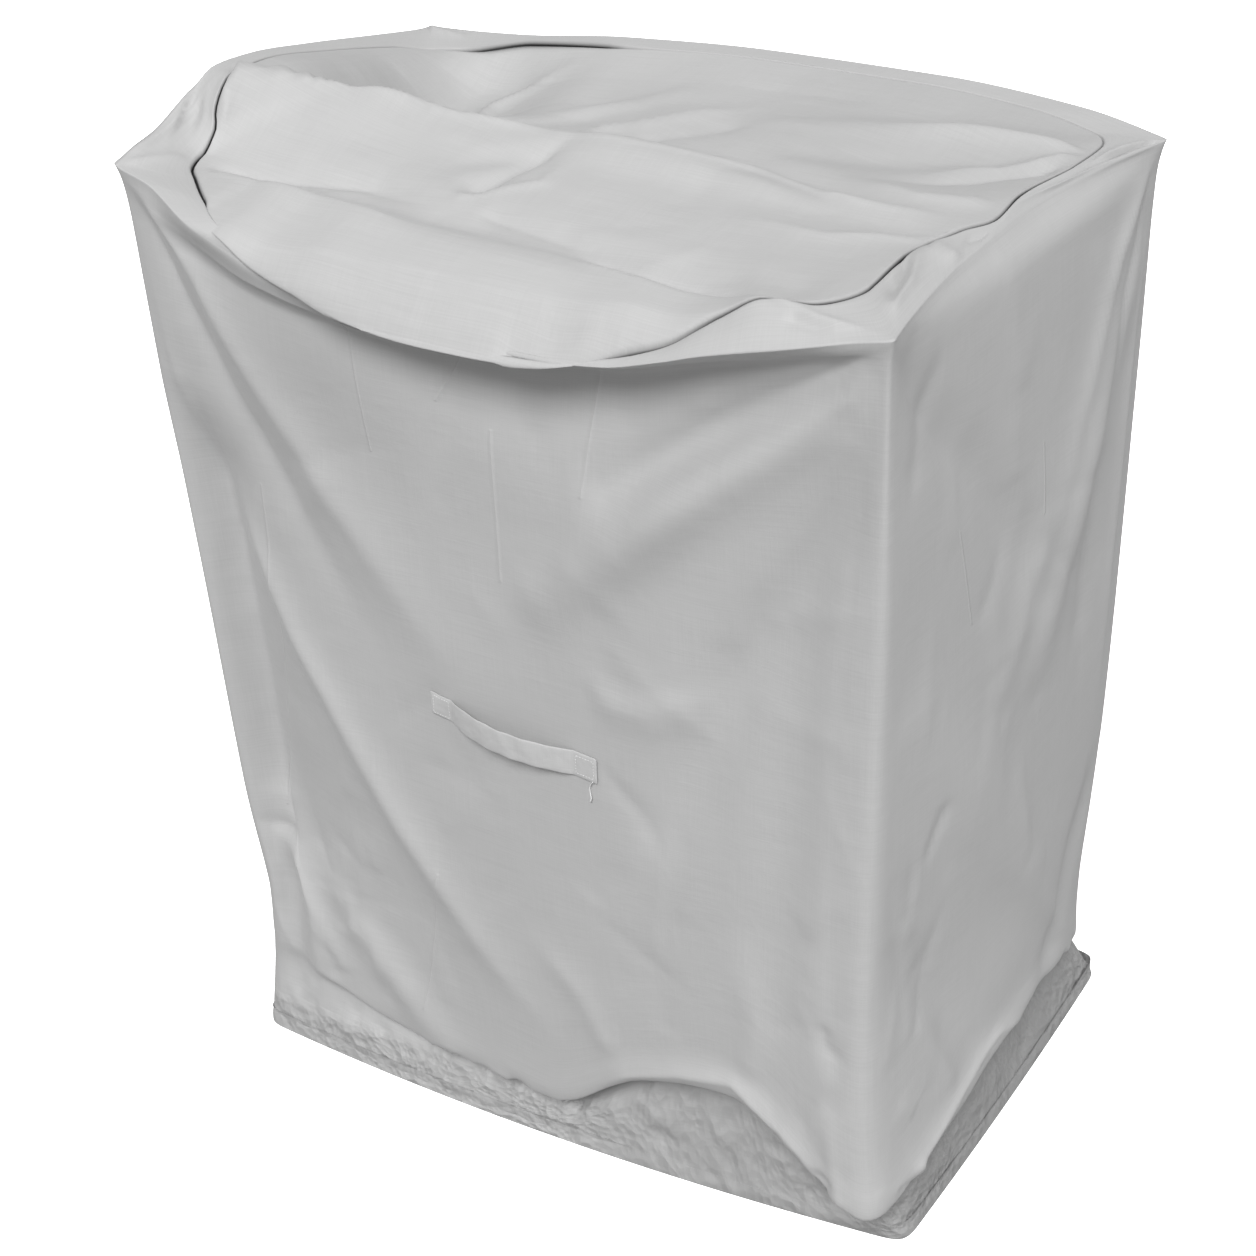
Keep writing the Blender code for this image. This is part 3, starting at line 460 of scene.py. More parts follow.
def girth_stations(counts):
    """Stations round the girth, drawn towards both ends of each side by taking away a sine wave."""
    ends = CORNER_STATIONS + (GIRTH,)
    sides = []
    for start, end, count in zip(ends[:-1], ends[1:], counts):
        even = np.arange(count) / count
        drawn = even - 0.45 * np.sin(2 * np.pi * even) / (2 * np.pi)
        sides.append(start + (end - start) * drawn)
    return np.concatenate(sides)


def sharp_level(level, stations):
    """Outline of one level: straight sides between its corners, each bowed by a parabola."""
    corners = np.array(level[1:5])
    bows = np.array(level[5])
    stations = np.mod(stations, GIRTH)
    starts = np.array(CORNER_STATIONS + (GIRTH,))
    side = np.clip(np.searchsorted(starts, stations, side="right") - 1, 0, 3)
    s = (stations - starts[side]) / (starts[side + 1] - starts[side])
    first, last = corners[side], corners[(side + 1) % 4]
    along = last - first
    outward = np.stack([along[:, 1], -along[:, 0]], axis=1)
    outward /= np.linalg.norm(outward, axis=1, keepdims=True)
    return first + along * s[:, None] + outward * (4 * s * (1 - s) * bows[side])[:, None]


def level_outline(level, stations):
    """A level's outline with rounded corner folds: the mean of the sharp outline over a short stretch."""
    weights = np.array((1, 2, 3, 4, 5, 4, 3, 2, 1)) / 25
    places = np.linspace(-2, 2, 9) * level[6]
    return sum(w * sharp_level(level, stations + place) for w, place in zip(weights, places))


def grid_normals(grid):
    """Unit normals of a grid whose columns close: the cross product of its two mean directions."""
    along = np.roll(grid, -1, axis=1) - np.roll(grid, 1, axis=1)
    down = np.gradient(grid, axis=0)
    normal = np.cross(down, along)
    return normal / np.maximum(np.linalg.norm(normal, axis=2, keepdims=True), 1e-9)


def bell_folds(a, b, folds):
    """Sum of straight bell folds: exp(-d*d / (w*w)) across each, fading towards both of its ends."""
    total = np.zeros(a.shape)
    for start, end, width, out in folds:
        da, db = end[0] - start[0], end[1] - start[1]
        length = np.hypot(da, db)
        along = ((a - start[0]) * da + (b - start[1]) * db) / length**2
        across = ((a - start[0]) * db - (b - start[1]) * da) / length
        inside = np.clip(along, 0, 1)
        fade = np.sin(np.pi * np.clip(0.12 + 0.76 * inside, 0, 1))
        total += out * fade * np.exp(-(across**2 + ((along - inside) * length)**2) / width**2)
    return total


CORNER_TIPS = ((0.0, (-0.7, -0.7, 0.1)), (FRONT_WIDTH, (0.7, -0.7, 0.1)),
               (CORNER_STATIONS[2], (0.7, 0.7, 0.1)), (CORNER_STATIONS[3], (-0.7, 0.7, 0.1)))
TIP_OUT = 0.006
TIP_WIDTH = 0.014


def straight_through(knots, values, at):
    """Straight pieces between the values at the knots, read at the places in at."""
    knots = np.asarray(knots, float)
    k = np.clip(np.searchsorted(knots, at, side="right") - 1, 0, len(knots) - 2)
    t = ((at - knots[k]) / (knots[k + 1] - knots[k])).reshape((-1,) + (1,) * (values.ndim - 1))
    return values[k] * (1 - t) + values[k + 1] * t


def edge_sharpness(stations):
    """How sharply the cloth folds over the top edge: softly under the roll of the front, sharply elsewhere."""
    places = (0.0, 0.06, 0.14, 0.56, 0.70, 0.86, 1.46, 1.60, 2.40, GIRTH)
    amounts = (0.90, 0.60, 0.25, 0.30, 0.85, 0.95, 0.95, 0.70, 0.85, 0.90)
    return smooth_through(places, amounts, stations)


def sharpen_edge(smooth, rings, rows, stations):
    """Pulls the cloth towards straight pieces where it folds over the top edge, and out at the corner tips."""
    straight = straight_through((0.0, 1.0) + LEVEL_ROWS, rings, rows)
    share = np.exp(-((rows - 1.0) / 0.6) ** 2)[:, None] * edge_sharpness(stations)[None]
    grid = smooth + share[:, :, None] * (straight - smooth)
    for station, outward in CORNER_TIPS:
        tip = round_the_girth(TOP_EDGE, np.array([station]))[0]
        distance = np.linalg.norm(grid - tip, axis=2, keepdims=True)
        grid = grid + np.array(outward) * TIP_OUT * np.exp(-distance / TIP_WIDTH)
    return grid


def near_corners(stations):
    """1 away from the four corner folds and 0.1 on them, so that the folds leave those edges straight."""
    ends = np.array(CORNER_STATIONS + (GIRTH,))
    distance = np.abs(stations[:, None] - ends[None]).min(axis=1)
    return 0.1 + 0.9 * smooth_step(distance / 0.055)


def sleeve_grid(stations, rows):
    """The sleeve without its creases: rings read from the tables, joined by smooth curves, plus broad folds."""
    level_heights = round_the_girth(LEVEL_HEIGHTS, stations)
    level_heights = np.column_stack([level_heights, np.zeros(len(stations))])
    rings = [round_the_girth(SEAM, stations), round_the_girth(TOP_EDGE, stations)]
    rings += [np.column_stack([level_outline(level, stations), level_heights[:, number]])
              for number, level in enumerate(LEVELS)]
    rings = np.stack(rings)
    grid = sharpen_edge(smooth_through((0.0, 1.0) + LEVEL_ROWS, rings, rows), rings, rows, stations)
    girth_places = np.broadcast_to(stations, grid.shape[:2])
    heights = grid[:, :, 2]
    out = bell_folds(girth_places, heights, BROAD_FOLDS) + bell_folds(girth_places - GIRTH, heights, BROAD_FOLDS)
    below_edge = np.clip((rows - 1.0) / 0.6, 0, 1)[:, None]
    above_hem = np.clip(heights / 0.05, 0, 1)
    normal = grid_normals(grid)
    normal[:, :, 2] = 0
    normal /= np.maximum(np.linalg.norm(normal, axis=2, keepdims=True), 1e-9)
    out *= below_edge * above_hem * near_corners(stations)[None]
    return grid + normal * out[:, :, None] - BOX_MIDDLE


stations = girth_stations(SIDE_COLUMNS)
rows = np.concatenate([np.array((0.0, 0.015, 0.03, 0.05, 0.08, 0.12, 0.18)), np.linspace(0.26, 1.0, 16),
                       np.linspace(1.0, 2.0, 27)[1:], np.linspace(2.0, 6.0, 125)[1:],
                       np.linspace(6.0, 7.4, 34)[1:], 8 - 0.6 * np.linspace(1, 0, 24)[1:] ** 1.6])
sleeve = sleeve_grid(stations, rows)
print("sleeve grid", sleeve.shape[:2], "->", 2 * (len(rows) - 1) * len(stations), "triangles before its hem")

# %% [markdown]
# ## Creases, seam and hem on the sleeve
# The creases move the cloth along its own normal. At the seam, the two pieces are sewn together inside,
# so both turn down into a narrow groove, and that groove is the dark line in the picture. Painted shade
# on both edges of the seam darkens that groove further. The hem is folded in and sewn down, which leaves
# a channel a finger wide with a row of stitches above it.

# %% Creases, seam and hem on the sleeve
GROOVE_DEPTH = 0.0075
GROOVE_WIDTH = 0.0019
# how far the seam's painted shade reaches down from the seam, before the gape widens it
PAINTED_SHADE_WIDTH = 0.0042
HEM_HEIGHT = 0.022
HEM_FOLD = 0.0022
UNDERCUT_BULGE = 0.005
UNDERCUT_DEPTH = 0.018


def lengths_down(grid):
    """Distance of each grid point from the first row, measured down its column."""
    steps = np.linalg.norm(np.diff(grid, axis=0), axis=2)
    return np.concatenate([np.zeros((1, grid.shape[1])), np.cumsum(steps, axis=0)])


def undercut(stations):
    """How strongly the cloth sags over its own foot, from 0 to 1 round the girth."""
    places = (0.0, 0.10, 0.26, 0.45, 0.60, 0.74, 0.86, 0.93, 1.10, 1.36, 1.46, 1.90, 2.40, GIRTH)
    amounts = (0.0, 0.1, 0.4, 0.5, 1.0, 1.0, 0.5, 0.6, 1.0, 0.8, 0.3, 0.7, 0.4, 0.0)
    return smooth_through(places, amounts, stations)[None]


def seam_gape(stations):
    """How far the seam gapes round the girth: widely at the back left, hardly at all along the back."""
    places = (0.0, 0.50, 0.58, 0.72, 0.78, 0.84, 1.14, 1.26, 1.46, 1.60, 2.04, 2.12, 2.26, 2.36, 2.60, 2.72, GIRTH)
    amounts = (0.9, 0.9, 1.2, 1.2, 0.9, 1.1, 1.1, 0.7, 0.5, 0.35, 0.35, 1.7, 1.8, 0.7, 0.7, 0.9, 0.9)
    return smooth_through(places, amounts, stations)[None]


def painted_seam_shade(grid, stations):
    """Painted shade along the seam: the shadow in the open gap between the two pieces, reaching furthest where it
    gapes.
    """
    places = (0.0, 0.50, 0.56, 0.74, 0.78, 0.82, 1.16, 1.28, 1.40, 1.60, 2.04, 2.12, 2.26, 2.34, 2.60, 2.72, GIRTH)
    amounts = (0.95, 0.95, 1.0, 1.0, 0.7, 0.95, 0.95, 0.5, 0.25, 0.05, 0.05, 1.0, 1.0, 0.4, 0.5, 0.95, 0.95)
    reach = PAINTED_SHADE_WIDTH * seam_gape(stations)
    return smooth_through(places, amounts, stations)[None] * np.exp(-(lengths_down(grid) / reach) ** 2)


def sink_seam(grid, inward):
    """Moves the cloth at its first row inwards by the groove's depth, fading with the distance from it."""
    gape = seam_gape(stations)
    depth = GROOVE_DEPTH * np.minimum(gape, 1.2) * np.exp(-(lengths_down(grid) / (GROOVE_WIDTH * gape)) ** 2)
    return grid + depth[:, :, None] * inward[None]


def crease_sleeve(grid, stations, rows, seam_inward):
    """Adds creases, skirt wrinkles, the seam's groove and the hem's channel to the sleeve's grid."""
    girth_places = np.broadcast_to(stations, grid.shape[:2])
    heights = grid[:, :, 2]
    out = folds_at(girth_places, heights, CREASES) + folds_at(girth_places - GIRTH, heights, CREASES)
    out += folds_at(girth_places, heights, wall_wrinkles)
    out *= smooth_step((rows - 1.0) / 0.4)[:, None] * near_corners(stations)[None]
    band_places = np.broadcast_to((rows * BAND_WIDTH)[:, None], grid.shape[:2])
    band = folds_at(girth_places, band_places, BAND_CREASES)
    out += band * (1 - smooth_step((rows - 1.0) / 0.15))[:, None]
    skirt = smooth_step((rows - 6.6) / 0.4)[:, None]
    low = folds_at(girth_places, heights, skirt_wrinkles) + folds_at(girth_places, heights, TUNNELS)
    out += low * np.maximum(skirt, 0.25)
    out += UNDERCUT_BULGE * np.exp(-((rows - 6.85) / 0.30) ** 2)[:, None] * undercut(stations)
    out -= UNDERCUT_DEPTH * np.exp(-((rows - 7.30) / 0.16) ** 2)[:, None] * undercut(stations)
    out *= smooth_step((heights - 0.020) / 0.020)
    channel = np.clip(heights / HEM_HEIGHT, 0, 1)
    foot = rows[:, None] > 7.4
    pucker = 1 + 0.7 * np.sin(girth_places * 140) * np.sin(girth_places * 57)
    out += foot * 0.0010 * np.sin(np.pi * channel) * pucker
    out -= foot * 0.0008 * np.exp(-((heights - HEM_HEIGHT) / 0.0022) ** 2)
    return sink_seam(grid + grid_normals(grid) * out[:, :, None], seam_inward)


def fold_hem_inside(grid):
    """Rows that carry the cloth under at the floor and up inside as far as the stitches."""
    normal = grid_normals(grid)[-1].copy()
    normal[:, 2] = 0
    normal /= np.linalg.norm(normal, axis=1, keepdims=True)
    turn = ((0.55, 0.0006), (1.0, 0.0020), (1.0, 0.010), (0.9, HEM_HEIGHT))
    up = np.array((0.0, 0.0, 1.0))
    inside = [grid[-1] - normal * HEM_FOLD * inward + up * height for inward, height in turn]
    return np.concatenate([grid, np.stack(inside)])


seam_line = sleeve[0].copy()
seam_inward = -(grid_normals(sleeve)[2] + np.array((0.0, 0.0, 1.0)))
seam_inward /= np.linalg.norm(seam_inward, axis=1, keepdims=True)
sleeve = crease_sleeve(sleeve, stations, rows, seam_inward)
sleeve[-1, :, 2] = 0.0
sleeve = fold_hem_inside(sleeve)
print("sleeve reaches from", sleeve.min(axis=(0, 1)).round(3), "to", sleeve.max(axis=(0, 1)).round(3))

# %% [markdown]
# ## From a grid to a mesh
# A grid becomes a mesh by joining neighbouring points with four-sided faces. Each face corner gets a
# place on a UV map in metres of cloth: along the girth and down the column. The weave is drawn on that
# map, so its threads follow the cloth round every fold. Two more values are stored on the points and
# read by the cloth's material: how crumpled the cloth is there, and how much painted shade it carries.

# %% From a grid to a mesh
def column_lengths(grid):
    """Down each column, the mean length of all columns, so that the map's lines stay level."""
    return lengths_down(grid).mean(axis=1)


def closed_map(along, down):
    """Map places of a grid whose last column joins its first: the girth one way and the length the other."""
    u, v = np.meshgrid(np.append(along, along[0] + GIRTH), -down)
    return np.stack([u, v], axis=-1)


def add_values(mesh, name, values):
    """Stores one number for each point of a mesh, for its material to read."""
    attribute = mesh.attributes.new(name, "FLOAT", "POINT")
    attribute.data.foreach_set("value", values.reshape(-1).astype(np.float32))


def grid_mesh(name, grid, places, crumple, shade, flip=False):
    """A mesh from a grid whose last column joins its first, with the map of the cloth, crumple and painted shade."""
    count_down, count_along = grid.shape[:2]
    index = np.arange(count_down * count_along).reshape(count_down, count_along)
    index = np.concatenate([index, index[:, :1]], axis=1)
    quads = np.stack([index[:-1, :-1], index[1:, :-1], index[1:, 1:], index[:-1, 1:]], axis=-1)
    corners = [(slice(None, -1), slice(None, -1)), (slice(1, None), slice(None, -1)),
               (slice(1, None), slice(1, None)), (slice(None, -1), slice(1, None))]
    uv = np.stack([places[c] for c in corners], axis=2)
    if flip:
        quads, uv = quads[..., ::-1], uv[:, :, ::-1]
    mesh = bpy.data.meshes.new(name)
    mesh.from_pydata(grid.reshape(-1, 3).tolist(), [], quads.reshape(-1, 4).tolist())
    layer = mesh.uv_layers.new(name="cloth")
    layer.data.foreach_set("uv", uv.reshape(-1).astype(np.float32))
    add_values(mesh, "crumple", crumple)
    add_values(mesh, "shade", shade)
    mesh.shade_smooth()
    return mesh


def add_piece(name, mesh, material):
    """An object at the origin that shows a mesh in a material, and rides on the object's only body."""
    mesh.materials.append(material)
    piece = bpy.data.objects.new(name, mesh)
    bpy.context.scene.collection.objects.link(piece)
    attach(piece, "root")
    return piece


def sleeve_crumple(grid, stations):
    """How crumpled the sleeve is, which the material also paints as shade: hardly at all on the walls, fully on the
    skirt below the sagging cloth.
    """
    places = (0.0, 0.30, 0.45, 0.56, 0.62, 0.74, 0.82, 0.88, 0.95, 1.06, 1.20, 1.35, 1.46, GIRTH)
    tops = (0.045, 0.050, 0.055, 0.090, 0.150, 0.180, 0.120, 0.050, 0.080, 0.120, 0.130, 0.090, 0.065, 0.055)
    top = smooth_through(places, tops, stations)[None]
    return 0.05 + 0.95 * (1 - smooth_step((grid[:, :, 2] - 0.8 * top) / (0.4 * top)))


def painted_foot_shade(crumple, stations):
    """Painted shade on the crumpled skirt of the right side, under the overhanging cloth, which makes it darker than
    the skirt of the front.
    """
    return 0.11 * crumple * smooth_through((0.0, 0.86, 0.96, 1.40, 1.50, GIRTH), (0, 0, 1, 1, 0.3, 0), stations)[None]


sleeve_places = closed_map(stations, column_lengths(sleeve))
crumple = sleeve_crumple(sleeve, stations)
# painted shade for the sleeve: along the seam, and on the skirt of the right side under the overhang
sleeve_painted_shade = painted_seam_shade(sleeve, stations) + painted_foot_shade(crumple, stations)
sleeve_mesh = grid_mesh("sleeve_cloth", sleeve, sleeve_places, crumple, sleeve_painted_shade)
print("sleeve mesh has", len(sleeve_mesh.polygons), "faces")

# %% [markdown]
# ## The top panel
# The top panel is made of rings that shrink from its seam to a straight spine, so its rim fits the
# sleeve exactly. Its height is read from a table of sections. Over the front it rolls out past the seam
# in a soft lip. A sharp crest runs in from the left edge, and behind it the cloth drops into a pocket.

# %% The shape of the top panel
TOP_DEPTHS = (-0.33, -0.295, -0.25, -0.19, -0.09, -0.03, 0.03, 0.12, 0.19, 0.26)
TOP_SECTIONS = (
    # x, then the height at each of those depths
    (-0.43, (1.100, 1.103, 1.104, 1.112, 1.158, 1.156, 1.140, 1.114, 1.106, 1.100)),
    (-0.32, (1.085, 1.104, 1.108, 1.108, 1.148, 1.082, 1.054, 1.048, 1.060, 1.100)),
    (-0.16, (1.050, 1.095, 1.106, 1.105, 1.128, 1.110, 1.098, 1.096, 1.104, 1.116)),
    (0.00, (1.040, 1.088, 1.102, 1.104, 1.126, 1.124, 1.120, 1.116, 1.118, 1.126)),
    (0.15, (1.042, 1.086, 1.098, 1.102, 1.120, 1.124, 1.124, 1.120, 1.120, 1.124)),
    (0.28, (1.080, 1.094, 1.098, 1.103, 1.114, 1.115, 1.114, 1.114, 1.114, 1.116)),
    (0.42, (1.106, 1.106, 1.106, 1.110, 1.112, 1.111, 1.110, 1.108, 1.106, 1.105)),
)
TOP_BROAD_FOLDS = (
    ((-0.42, -0.205), (0.32, -0.250), 0.028, -0.012), ((-0.44, -0.115), (-0.26, -0.090), 0.030, 0.008),
    ((-0.30, -0.085), (-0.10, -0.078), 0.030, 0.006), ((-0.26, -0.060), (-0.04, 0.150), 0.022, 0.010),
    ((-0.06, -0.060), (0.34, -0.075), 0.022, 0.010), ((-0.14, -0.130), (-0.04, -0.060), 0.018, -0.006),
    ((0.44, 0.200), (0.10, 0.080), 0.028, 0.009), ((0.42, 0.120), (0.14, 0.010), 0.024, -0.007),
    ((0.38, -0.110), (0.10, 0.000), 0.026, -0.008),
)
TOP_CREASES = (
    # path of (x, y), width at its start, width at its end, height, softness
    # the crest, and the long ridge that goes on from it to the right
    (((-0.462, -0.097), (-0.421, -0.094), (-0.358, -0.079), (-0.305, -0.069), (-0.262, -0.055)),
     0.010, 0.012, 0.0130, 0.10),
    (((-0.300, -0.066), (-0.236, -0.048), (-0.179, -0.043), (-0.110, -0.027), (-0.042, -0.022)),
     0.010, 0.010, 0.0100, 0.12),
    (((-0.070, -0.024), (0.013, -0.028), (0.091, -0.029), (0.171, -0.020), (0.286, -0.043), (0.385, -0.046)),
     0.009, 0.010, 0.0090, 0.12),
    # the ridge along the right end of the pocket, and the lens-shaped hollow beside it
    (((-0.275, -0.057), (-0.285, 0.060), (-0.285, 0.160), (-0.250, 0.215), (-0.197, 0.262)),
     0.010, 0.014, 0.0180, 0.12),
    (((-0.262, -0.035), (-0.250, 0.060), (-0.200, 0.115)), 0.012, 0.014, -0.0100, 0.40),
    # folds over the middle
    (((-0.042, -0.022), (-0.007, 0.044), (0.028, 0.107), (0.092, 0.167)), 0.007, 0.022, 0.0090, 0.20),
    (((0.010, -0.005), (0.060, 0.060), (0.110, 0.120)), 0.010, 0.020, -0.0060, 0.30),
    (((-0.200, -0.020), (-0.140, 0.040), (-0.060, 0.130)), 0.008, 0.020, 0.0060, 0.20),
    (((-0.089, -0.165), (-0.067, -0.091), (-0.044, -0.026)), 0.014, 0.008, -0.0110, 0.30),
    (((-0.102, -0.172), (-0.020, -0.120), (-0.030, -0.060)), 0.006, 0.006, 0.0050, 0.20),
    # the trough behind the front roll, and the thin crease at its right
    (((-0.398, -0.200), (-0.300, -0.182), (-0.200, -0.168), (-0.080, -0.192)), 0.007, 0.018, -0.0120, 0.20),
    (((-0.396, -0.213), (-0.301, -0.226), (-0.198, -0.226), (-0.077, -0.245)), 0.007, 0.018, 0.0070, 0.25),
    (((0.080, -0.215), (0.154, -0.230), (0.231, -0.234), (0.310, -0.254), (0.367, -0.263)),
     0.006, 0.006, -0.0070, 0.20),
    (((0.080, -0.232), (0.231, -0.250), (0.340, -0.270)), 0.008, 0.008, 0.0040, 0.40),
    (((-0.060, -0.180), (0.040, -0.195), (0.120, -0.214)), 0.010, 0.012, -0.0070, 0.30),
    # the flattened end of the roll
    (((0.060, -0.335), (0.110, -0.318), (0.160, -0.310)), 0.010, 0.010, -0.0080, 0.30),
    # beside the seam at the left
    (((-0.430, -0.122), (-0.405, -0.160)), 0.010, 0.010, -0.0100, 0.40),
    # folds that leave the right side
    (((0.244, -0.040), (0.330, -0.045), (0.395, -0.030)), 0.004, 0.006, 0.0030, 0.30),
    (((0.430, 0.186), (0.374, 0.109), (0.300, 0.060)), 0.005, 0.018, 0.0090, 0.20),
    (((0.432, 0.200), (0.330, 0.170), (0.200, 0.130)), 0.005, 0.022, 0.0090, 0.20),
    (((0.425, 0.150), (0.360, 0.070), (0.260, 0.010)), 0.007, 0.020, -0.0085, 0.25),
    (((0.400, -0.090), (0.300, -0.120), (0.180, -0.110)), 0.006, 0.018, 0.0060, 0.25),
    (((0.415, 0.020), (0.340, -0.005), (0.240, 0.010)), 0.006, 0.020, 0.0065, 0.25),
)
SPINE_REACH = 0.24
SPINE_Y = -0.03
ROLL_OUT = 0.010
ROLL_SHARE = 0.22
LIP_OUT = 0.017
LIP_DROP = 0.015


RIDGE_LINE = (
    # x, y of the crest and of the long ridge that goes on from it
    (-0.45, -0.095), (-0.36, -0.079), (-0.30, -0.068), (-0.236, -0.048), (-0.18, -0.043), (-0.11, -0.027),
    (-0.042, -0.022), (0.013, -0.028), (0.09, -0.029), (0.17, -0.022), (0.286, -0.043), (0.385, -0.046),
)
RIDGE_DEPTH = -0.09
CRISP_SHARE = 0.85


def table_height(x, y):
    """Height at a plan place: along y through each section, eased between the sections along x.

    The table's ridge column is bent to follow the ridge line, and the pieces between the table's values
    are partly straight, so that the ridge and the trough in front of it are crisp.
    """
    line = np.asarray(RIDGE_LINE)
    ridge = np.interp(x.ravel() - BOX_MIDDLE[0], line[:, 0], line[:, 1]) + BOX_MIDDLE[1]
    bend = np.exp(-((y.ravel() - ridge) / 0.09) ** 2)
    depth = y.ravel() + (RIDGE_DEPTH - ridge) * bend
    values = np.array([row[1] for row in TOP_SECTIONS]).T
    along_y = (1 - CRISP_SHARE) * smooth_through(TOP_DEPTHS, values, depth)
    along_y += CRISP_SHARE * straight_through(TOP_DEPTHS, values, np.clip(depth, TOP_DEPTHS[0], TOP_DEPTHS[-1]))
    section_x = np.array([row[0] for row in TOP_SECTIONS])
    places = np.clip(x.ravel(), section_x[0], section_x[-1])
    k = np.clip(np.searchsorted(section_x, places, side="right") - 1, 0, len(section_x) - 2)
    eased = smooth_step((places - section_x[k]) / (section_x[k + 1] - section_x[k]))
    pick = np.arange(len(places))
    return (along_y[pick, k] * (1 - eased) + along_y[pick, k + 1] * eased).reshape(x.shape)


def top_grid(seam, stations, rings):
    """Rings of the top panel: each lies between the seam, at 1, and the spine, at 0, at its table height."""
    share = rings[:, None, None]
    ends = (0.0, FRONT_WIDTH, CORNER_STATIONS[2], CORNER_STATIONS[3])
    reach = np.interp(stations, ends, (-SPINE_REACH, SPINE_REACH, SPINE_REACH, -SPINE_REACH))
    spine = np.column_stack([reach, np.full(len(stations), SPINE_Y)])
    plan = share * (seam[None, :, :2] + BOX_MIDDLE[:2]) + (1 - share) * spine[None]
    x, y = plan[:, :, 0], plan[:, :, 1]
    height = table_height(x, y) + bell_folds(x, y, TOP_BROAD_FOLDS)
    height += (seam[None, :, 2] - height[0]) * share[:, :, 0] ** 4
    way_in = np.clip((1 - share[:, :, 0]) / ROLL_SHARE, 0, 1)
    at_front = np.sin(np.pi * np.clip(stations / FRONT_WIDTH, 0, 1)) ** 0.5
    y = y - ROLL_OUT * np.sin(np.pi * way_in**0.7) * at_front[None]
    lip = smooth_through((0.0, 0.04, 0.10, 0.16, 0.48, 0.60, 0.66, GIRTH), (0, 0, 0.9, 1, 1, 0.6, 0, 0), stations)
    lip = lip[None] * np.sin(np.pi * way_in**0.45)
    return np.stack([x, y - LIP_OUT * lip, height - LIP_DROP * lip], axis=-1) - BOX_MIDDLE


def crease_top(grid, rings, seam_inward):
    """Adds the creases upwards, a few seeded wrinkles, and the groove at the seam."""
    x, y = grid[:, :, 0], grid[:, :, 1]
    wrinkles = scattered_folds(31, 60, (-0.40, 0.40), (-0.22, 0.24), (0.05, 0.16), 0.0110, 0.0013, 10, 60)
    lift = folds_at(x, y, TOP_CREASES) + folds_at(x, y, wrinkles)
    lift *= smooth_step((1 - rings) / 0.05)[:, None]
    grid = grid.copy()
    grid[:, :, 2] += lift
    return sink_seam(grid, seam_inward)


def painted_top_shade(grid):
    """Painted shade on the top: a soft round patch in the pocket behind the crest, and a thin layer over the back
    right.
    """
    x, y = grid[:, :, 0], grid[:, :, 1]
    pocket = np.exp(-(((x + 0.33) / 0.12) ** 2 + ((y - 0.06) / 0.11) ** 2))
    return 0.10 * pocket + 0.035 * smooth_step((x - 0.02) / 0.20) * smooth_step((y + 0.05) / 0.10)


rings = np.concatenate([1 - np.array((0.0, 0.004, 0.008, 0.014, 0.022, 0.032, 0.045)),
                        np.linspace(0.94, 0.55, 40), np.linspace(0.55, 0.0, 42)[1:]])
top = crease_top(top_grid(seam_line, stations, rings), rings, seam_inward)
top_places = np.concatenate([top, top[:, :1]], axis=1)[:, :, :2]
# the top panel's shade value is painted shade: along its seam, in its pocket and over its back right
top_mesh = grid_mesh("top_cloth", top, top_places, np.full(top.shape[:2], 0.10),
                     painted_seam_shade(top, stations) + painted_top_shade(top), flip=True)
print("top panel mesh has", len(top_mesh.polygons), "faces")

# %% [markdown]
# ## The coated cloth
# Coated polyester is a fine plain weave under a thin film. From where the camera stands, single threads
# are too small to see, but they show together as faint streaks along both directions of the weave.
# Where the cloth was folded for packing, the film keeps a thin pale line. And where it has been
# crumpled, the film holds small flat facets that catch the light. Each of these is one node group with
# named inputs, because all three pieces of the cover use them with their own values.

# %% Node helpers
def add_node(tree, kind, **values):
    """A node of one kind; each value goes to the input or the property of that name."""
    node = tree.nodes.new(kind)
    for name, value in values.items():
        key = name.replace("_", " ")
        if key in node.inputs:
            node.inputs[key].default_value = value
        else:
            setattr(node, name, value)
    return node


def add_math(tree, operation, first, second=None, third=None, clamp=False):
    """A Math node; an operand is a number or another node's output."""
    node = tree.nodes.new("ShaderNodeMath")
    node.operation = operation
    node.use_clamp = clamp
    for socket, operand in zip(node.inputs, (first, second, third)):
        if isinstance(operand, (int, float)):
            socket.default_value = operand
        elif operand is not None:
            tree.links.new(operand, socket)
    return node.outputs["Value"]


def new_group(name, inputs, outputs):
    """An empty shader group with float or vector inputs and float outputs, and its two end nodes."""
    group = bpy.data.node_groups.new(name, "ShaderNodeTree")
    for title, kind, value in inputs:
        socket = group.interface.new_socket(name=title, in_out="INPUT", socket_type=kind)
        if value is not None:
            socket.default_value = value
    for title in outputs:
        group.interface.new_socket(name=title, in_out="OUTPUT", socket_type="NodeSocketFloat")
    return group, group.nodes.new("NodeGroupInput"), group.nodes.new("NodeGroupOutput")


print("node helpers ready")

# %% [markdown]
# ## Three effects of the cloth
# The weave streaks are two noise patterns, each stretched a hundredfold along its threads. A crumple is
# made of two Voronoi patterns: the distance to the middle of the nearest cell is a small cone, and
# where two cones meet there is a crease. A packing crease is a short straight line: its height falls
# off with the distance to the line, which a few vector maths nodes measure.

